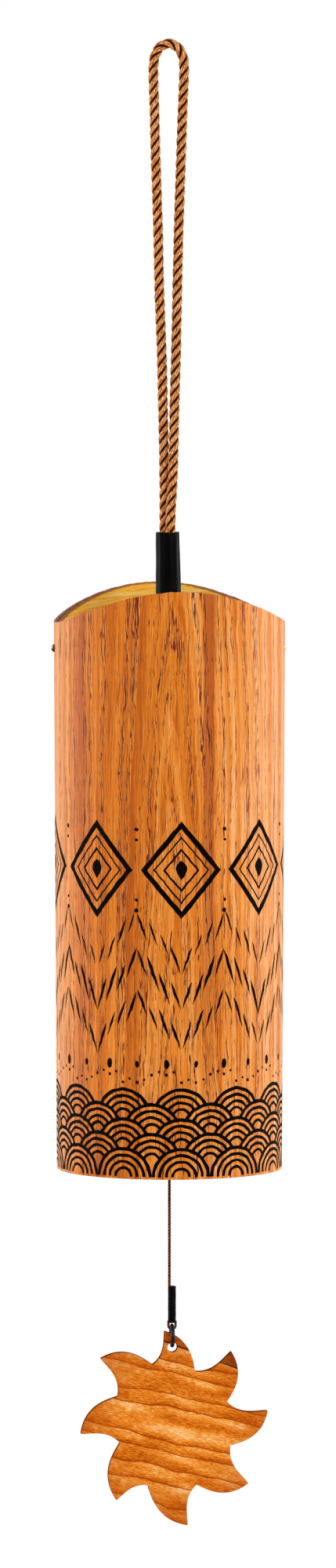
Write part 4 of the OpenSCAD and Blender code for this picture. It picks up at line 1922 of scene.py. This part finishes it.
    def bent(self, point: Vector) -> Vector:
        """Bends the print round the tube from the middle of its front, with a cut edge's wobble.

        Args:
            point: The point on the flat print.

        Returns:
            Its place on the tube.
        """
        flat = point.xy * self.wobble_waves
        aside, up = (self.wobble * noise.noise(flat.to_3d() + Vector((0, 0, z))) for z in self.wobble_layers)
        turn = (point.x + aside) / self.heights.tube_r - math.pi / 2
        reach = self.heights.tube_r + self.proud + self.heights.widening(point.y)
        return polar(reach, turn, point.y + up)

    def build(self) -> None:
        """Draws the print flat and wraps it round the tube."""
        radius = math.pi * self.heights.tube_r / self.scales_round
        foot = self.heights.foot + self.foot_gap
        crest = foot + (self.rows + 1) * radius / 2
        flat = self.waves(radius, foot) + self.edging(crest)
        flat += self.chevrons(crest + self.strokes_above) + self.frieze()
        piece = settled(wrapped(united(flat), self.bent), "tube_print", 30)
        kept(piece, ScreenInk(), "resonator", "veneer")


@dataclass
class RodRing:
    """The eight rods with ground tops, the plate that they stand on and what holds it."""

    heights: Heights = Heights()
    circle_r: float = 22.0
    rod_d: float = 3.5
    edge: float = 0.3
    longest: float = 112.0
    pitches: tuple[float, ...] = (1, 2, 4 / 3, 8 / 3, 5 / 3, 10 / 3, 16 / 9, 4)
    steel: Metal = Metal(
        name="drawn_steel_rod", turned=False, dark="#9A9A98", light="#D6D6D4", roughness=0.26
    )
    braze: Metal = Metal(
        name="silver_braze", turned=False, dark="#7D6330", light="#D9C48C", roughness=0.35,
        stretch=(1.2 / MM,) * 3,
    )

    def rod(self, index: int) -> Piece:
        """Turns one rod.

        Args:
            index: The rod's place on the circle, from 0.

        Returns:
            The rod.
        """
        turn = (index + 0.5) * FULL_TURN / len(self.pitches)
        top = self.heights.plate_top + self.longest / math.sqrt(self.pitches[index])
        foot = polar(self.circle_r, turn, self.heights.plate_bottom)
        piece = tubing(40, self.rod_d / 2, top, foot.z, foot)
        return settled(eased(piece, self.edge, 3, sharpest=60), f"rod_{index + 1}")

    def build(self) -> None:
        """Builds all the rods and dresses the plate."""
        for index in range(len(self.pitches)):
            kept(self.rod(index), self.steel, "resonator", "rod", f"chime_rod_{index + 1}")
        dressed(Metal(), "base_plate")
        dressed(AmberResin(), "plate_bond")
        dressed(self.braze, "braze_fillets")
        dressed(GoldenPly(), "plate_ring")


@dataclass
class SunSail:
    """The wooden sun, cut by hand with eight curved rays."""

    tip_r: float = 28.2
    valley_r: float = 17.8
    thickness: float = 2.6
    edge: float = 0.18
    hole_r: float = 1.45
    # The hole's place across and up, as shares of the tips' radius.
    hole_shares: tuple[float, float] = (-0.024, 0.8)
    ray_turn: float = 88.4
    tip_shares: tuple[float, ...] = (0.97, 1.03, 0.97, 0.98, 1.05, 0.98, 0.97, 0.95)
    tip_angles: tuple[float, ...] = (7.6, 4.4, 6.4, 8.6, 8.9, 7.6, 9.2, 8.4)
    valley_shares: tuple[float, ...] = (0.93, 1.05, 1.04, 0.94, 1.08, 1.05, 0.98, 0.93)
    valley_angles: tuple[float, ...] = (3, -1, -3, -3, 0, -1, 3, 2)
    # How far a side bows, as a share of its length, and where it is fullest.
    rising_side: tuple[float, float] = (0.17, 0.53)
    falling_side: tuple[float, float] = (-0.13, 0.59)
    steps: int = 18

    def corner(self, radius: float, rays: float, angle: float) -> Vector:
        """Returns a corner of the outline from the sail's middle, a number of rays round."""
        turn = math.radians(self.ray_turn + rays * 360 / len(self.tip_shares) + angle)
        return Vector((radius * math.cos(turn), 0, radius * math.sin(turn)))

    def tip(self, i: int) -> Vector:
        """Returns a ray's tip."""
        return self.corner(self.tip_r * self.tip_shares[i], i, self.tip_angles[i])

    def valley(self, i: int) -> Vector:
        """Returns the valley before a ray."""
        i %= len(self.valley_shares)
        return self.corner(self.valley_r * self.valley_shares[i], i - 0.5, self.valley_angles[i])

    def side(self, start: Vector, end: Vector, bow: float, fullest: float) -> list[Vector]:
        """Draws a ray's side.

        Args:
            start: The side's first corner.
            end: Its last corner.
            bow: How far it bows, as a share of its length.
            fullest: Where the bow is fullest.

        Returns:
            Its points, without the last corner.
        """
        chord = end - start
        across = Vector((chord.z, 0, -chord.x))
        found = []
        for share in (k / self.steps for k in range(self.steps)):
            shifted = share ** (math.log(0.5) / math.log(fullest))
            found.append(start + share * chord + 4 * bow * shifted * (1 - shifted) * across)
        return found

    def outline(self) -> list[Vector]:
        """Draws the sun's outline, ray by ray.

        Returns:
            Its points.
        """
        found = []
        for i in range(len(self.tip_shares)):
            found += self.side(self.valley(i), self.tip(i), *self.rising_side)
            found += self.side(self.tip(i), self.valley(i + 1), *self.falling_side)
        return found

    def sawn(self, outline: Sequence[Vector], middle: Vector) -> Piece:
        """Saws the sun out of a board.

        Args:
            outline: The sun's outline.
            middle: Where its middle is.

        Returns:
            The sun, without its hole.
        """
        flat_on = (math.pi / 2, 0, 0)
        bpy.ops.mesh.primitive_circle_add(
            vertices=len(outline), radius=self.tip_r * MM, fill_type="NGON", rotation=flat_on
        )
        piece = bpy.context.object
        bpy.ops.object.transform_apply(rotation=True)
        back = Vector((0, self.thickness / 2, 0))
        for point, place in zip(piece.data.vertices, outline):
            point.co = (middle + place + back) * MM
        with editing(piece):
            bpy.ops.mesh.extrude_region_move(TRANSFORM_OT_translate={"value": (0, -self.thickness * MM, 0)})
            bpy.ops.mesh.select_all(action="SELECT")
            bpy.ops.mesh.normals_make_consistent(inside=False)
        return piece

    def drilled(self, piece: Piece, hole: Vector) -> None:
        """Drills the hole for the link ring.

        Args:
            piece: The sun.
            hole: The hole's middle.
        """
        bpy.ops.mesh.primitive_cylinder_add(
            vertices=48, radius=self.hole_r * MM, depth=4 * self.thickness * MM, location=hole * MM,
            rotation=(math.pi / 2, 0, 0),
        )
        drill = bpy.context.object
        applied(piece, "BOOLEAN", object=drill, operation="DIFFERENCE", solver="EXACT")
        bpy.data.objects.remove(drill)

    def build(self) -> None:
        """Cuts the sun, drills it and breaks its edges."""
        low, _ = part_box("wind_sail")
        outline = self.outline()
        left, foot = min(p.x for p in outline), min(p.z for p in outline)
        middle = Vector((low.x / MM - left, 0, low.z / MM - foot))
        piece = self.sawn(outline, middle)
        across, up = self.hole_shares
        self.drilled(piece, middle + Vector((across * self.tip_r, 0, up * self.tip_r)))
        settled(eased(piece, self.edge, 2, sharpest=60), "sun_sail", 35)
        kept(piece, CherrySail(middle_x=middle.x, middle_z=middle.z), "sail", "sail", "wind_sail")


def main() -> None:
    """Builds the studio, then each sub-assembly."""
    logging.basicConfig(level=logging.INFO, format="%(message)s")
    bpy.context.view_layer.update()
    for part in (Studio(), HangingRope(), ThinCord(), Tube(), BandPrint(), RodRing(), SunSail()):
        part.build()
    dressed(PlainWood(), "crossbar")
    dressed(PinWearAndGlint(), "crossbar_pin_left")
    # The right pin's head is pale brass all over: a painted highlight.
    dressed(PinWearAndGlint(name="pale_brass_glint", wear_and_glint_reach=3.0, brass="#FAF2DC"), "crossbar_pin_right")
    walnut = PlainWood(
        name="turned_walnut_disc", dark="#7A4A26", light="#B07A48",
        stretch=(1.4 / MM, 0.16 / MM, 1.4 / MM), roughness=0.5,
    )
    dressed(walnut, "clapper_disc")
    dressed(WireEnamel(), "link_ring")


if __name__ == "__main__":
    main()
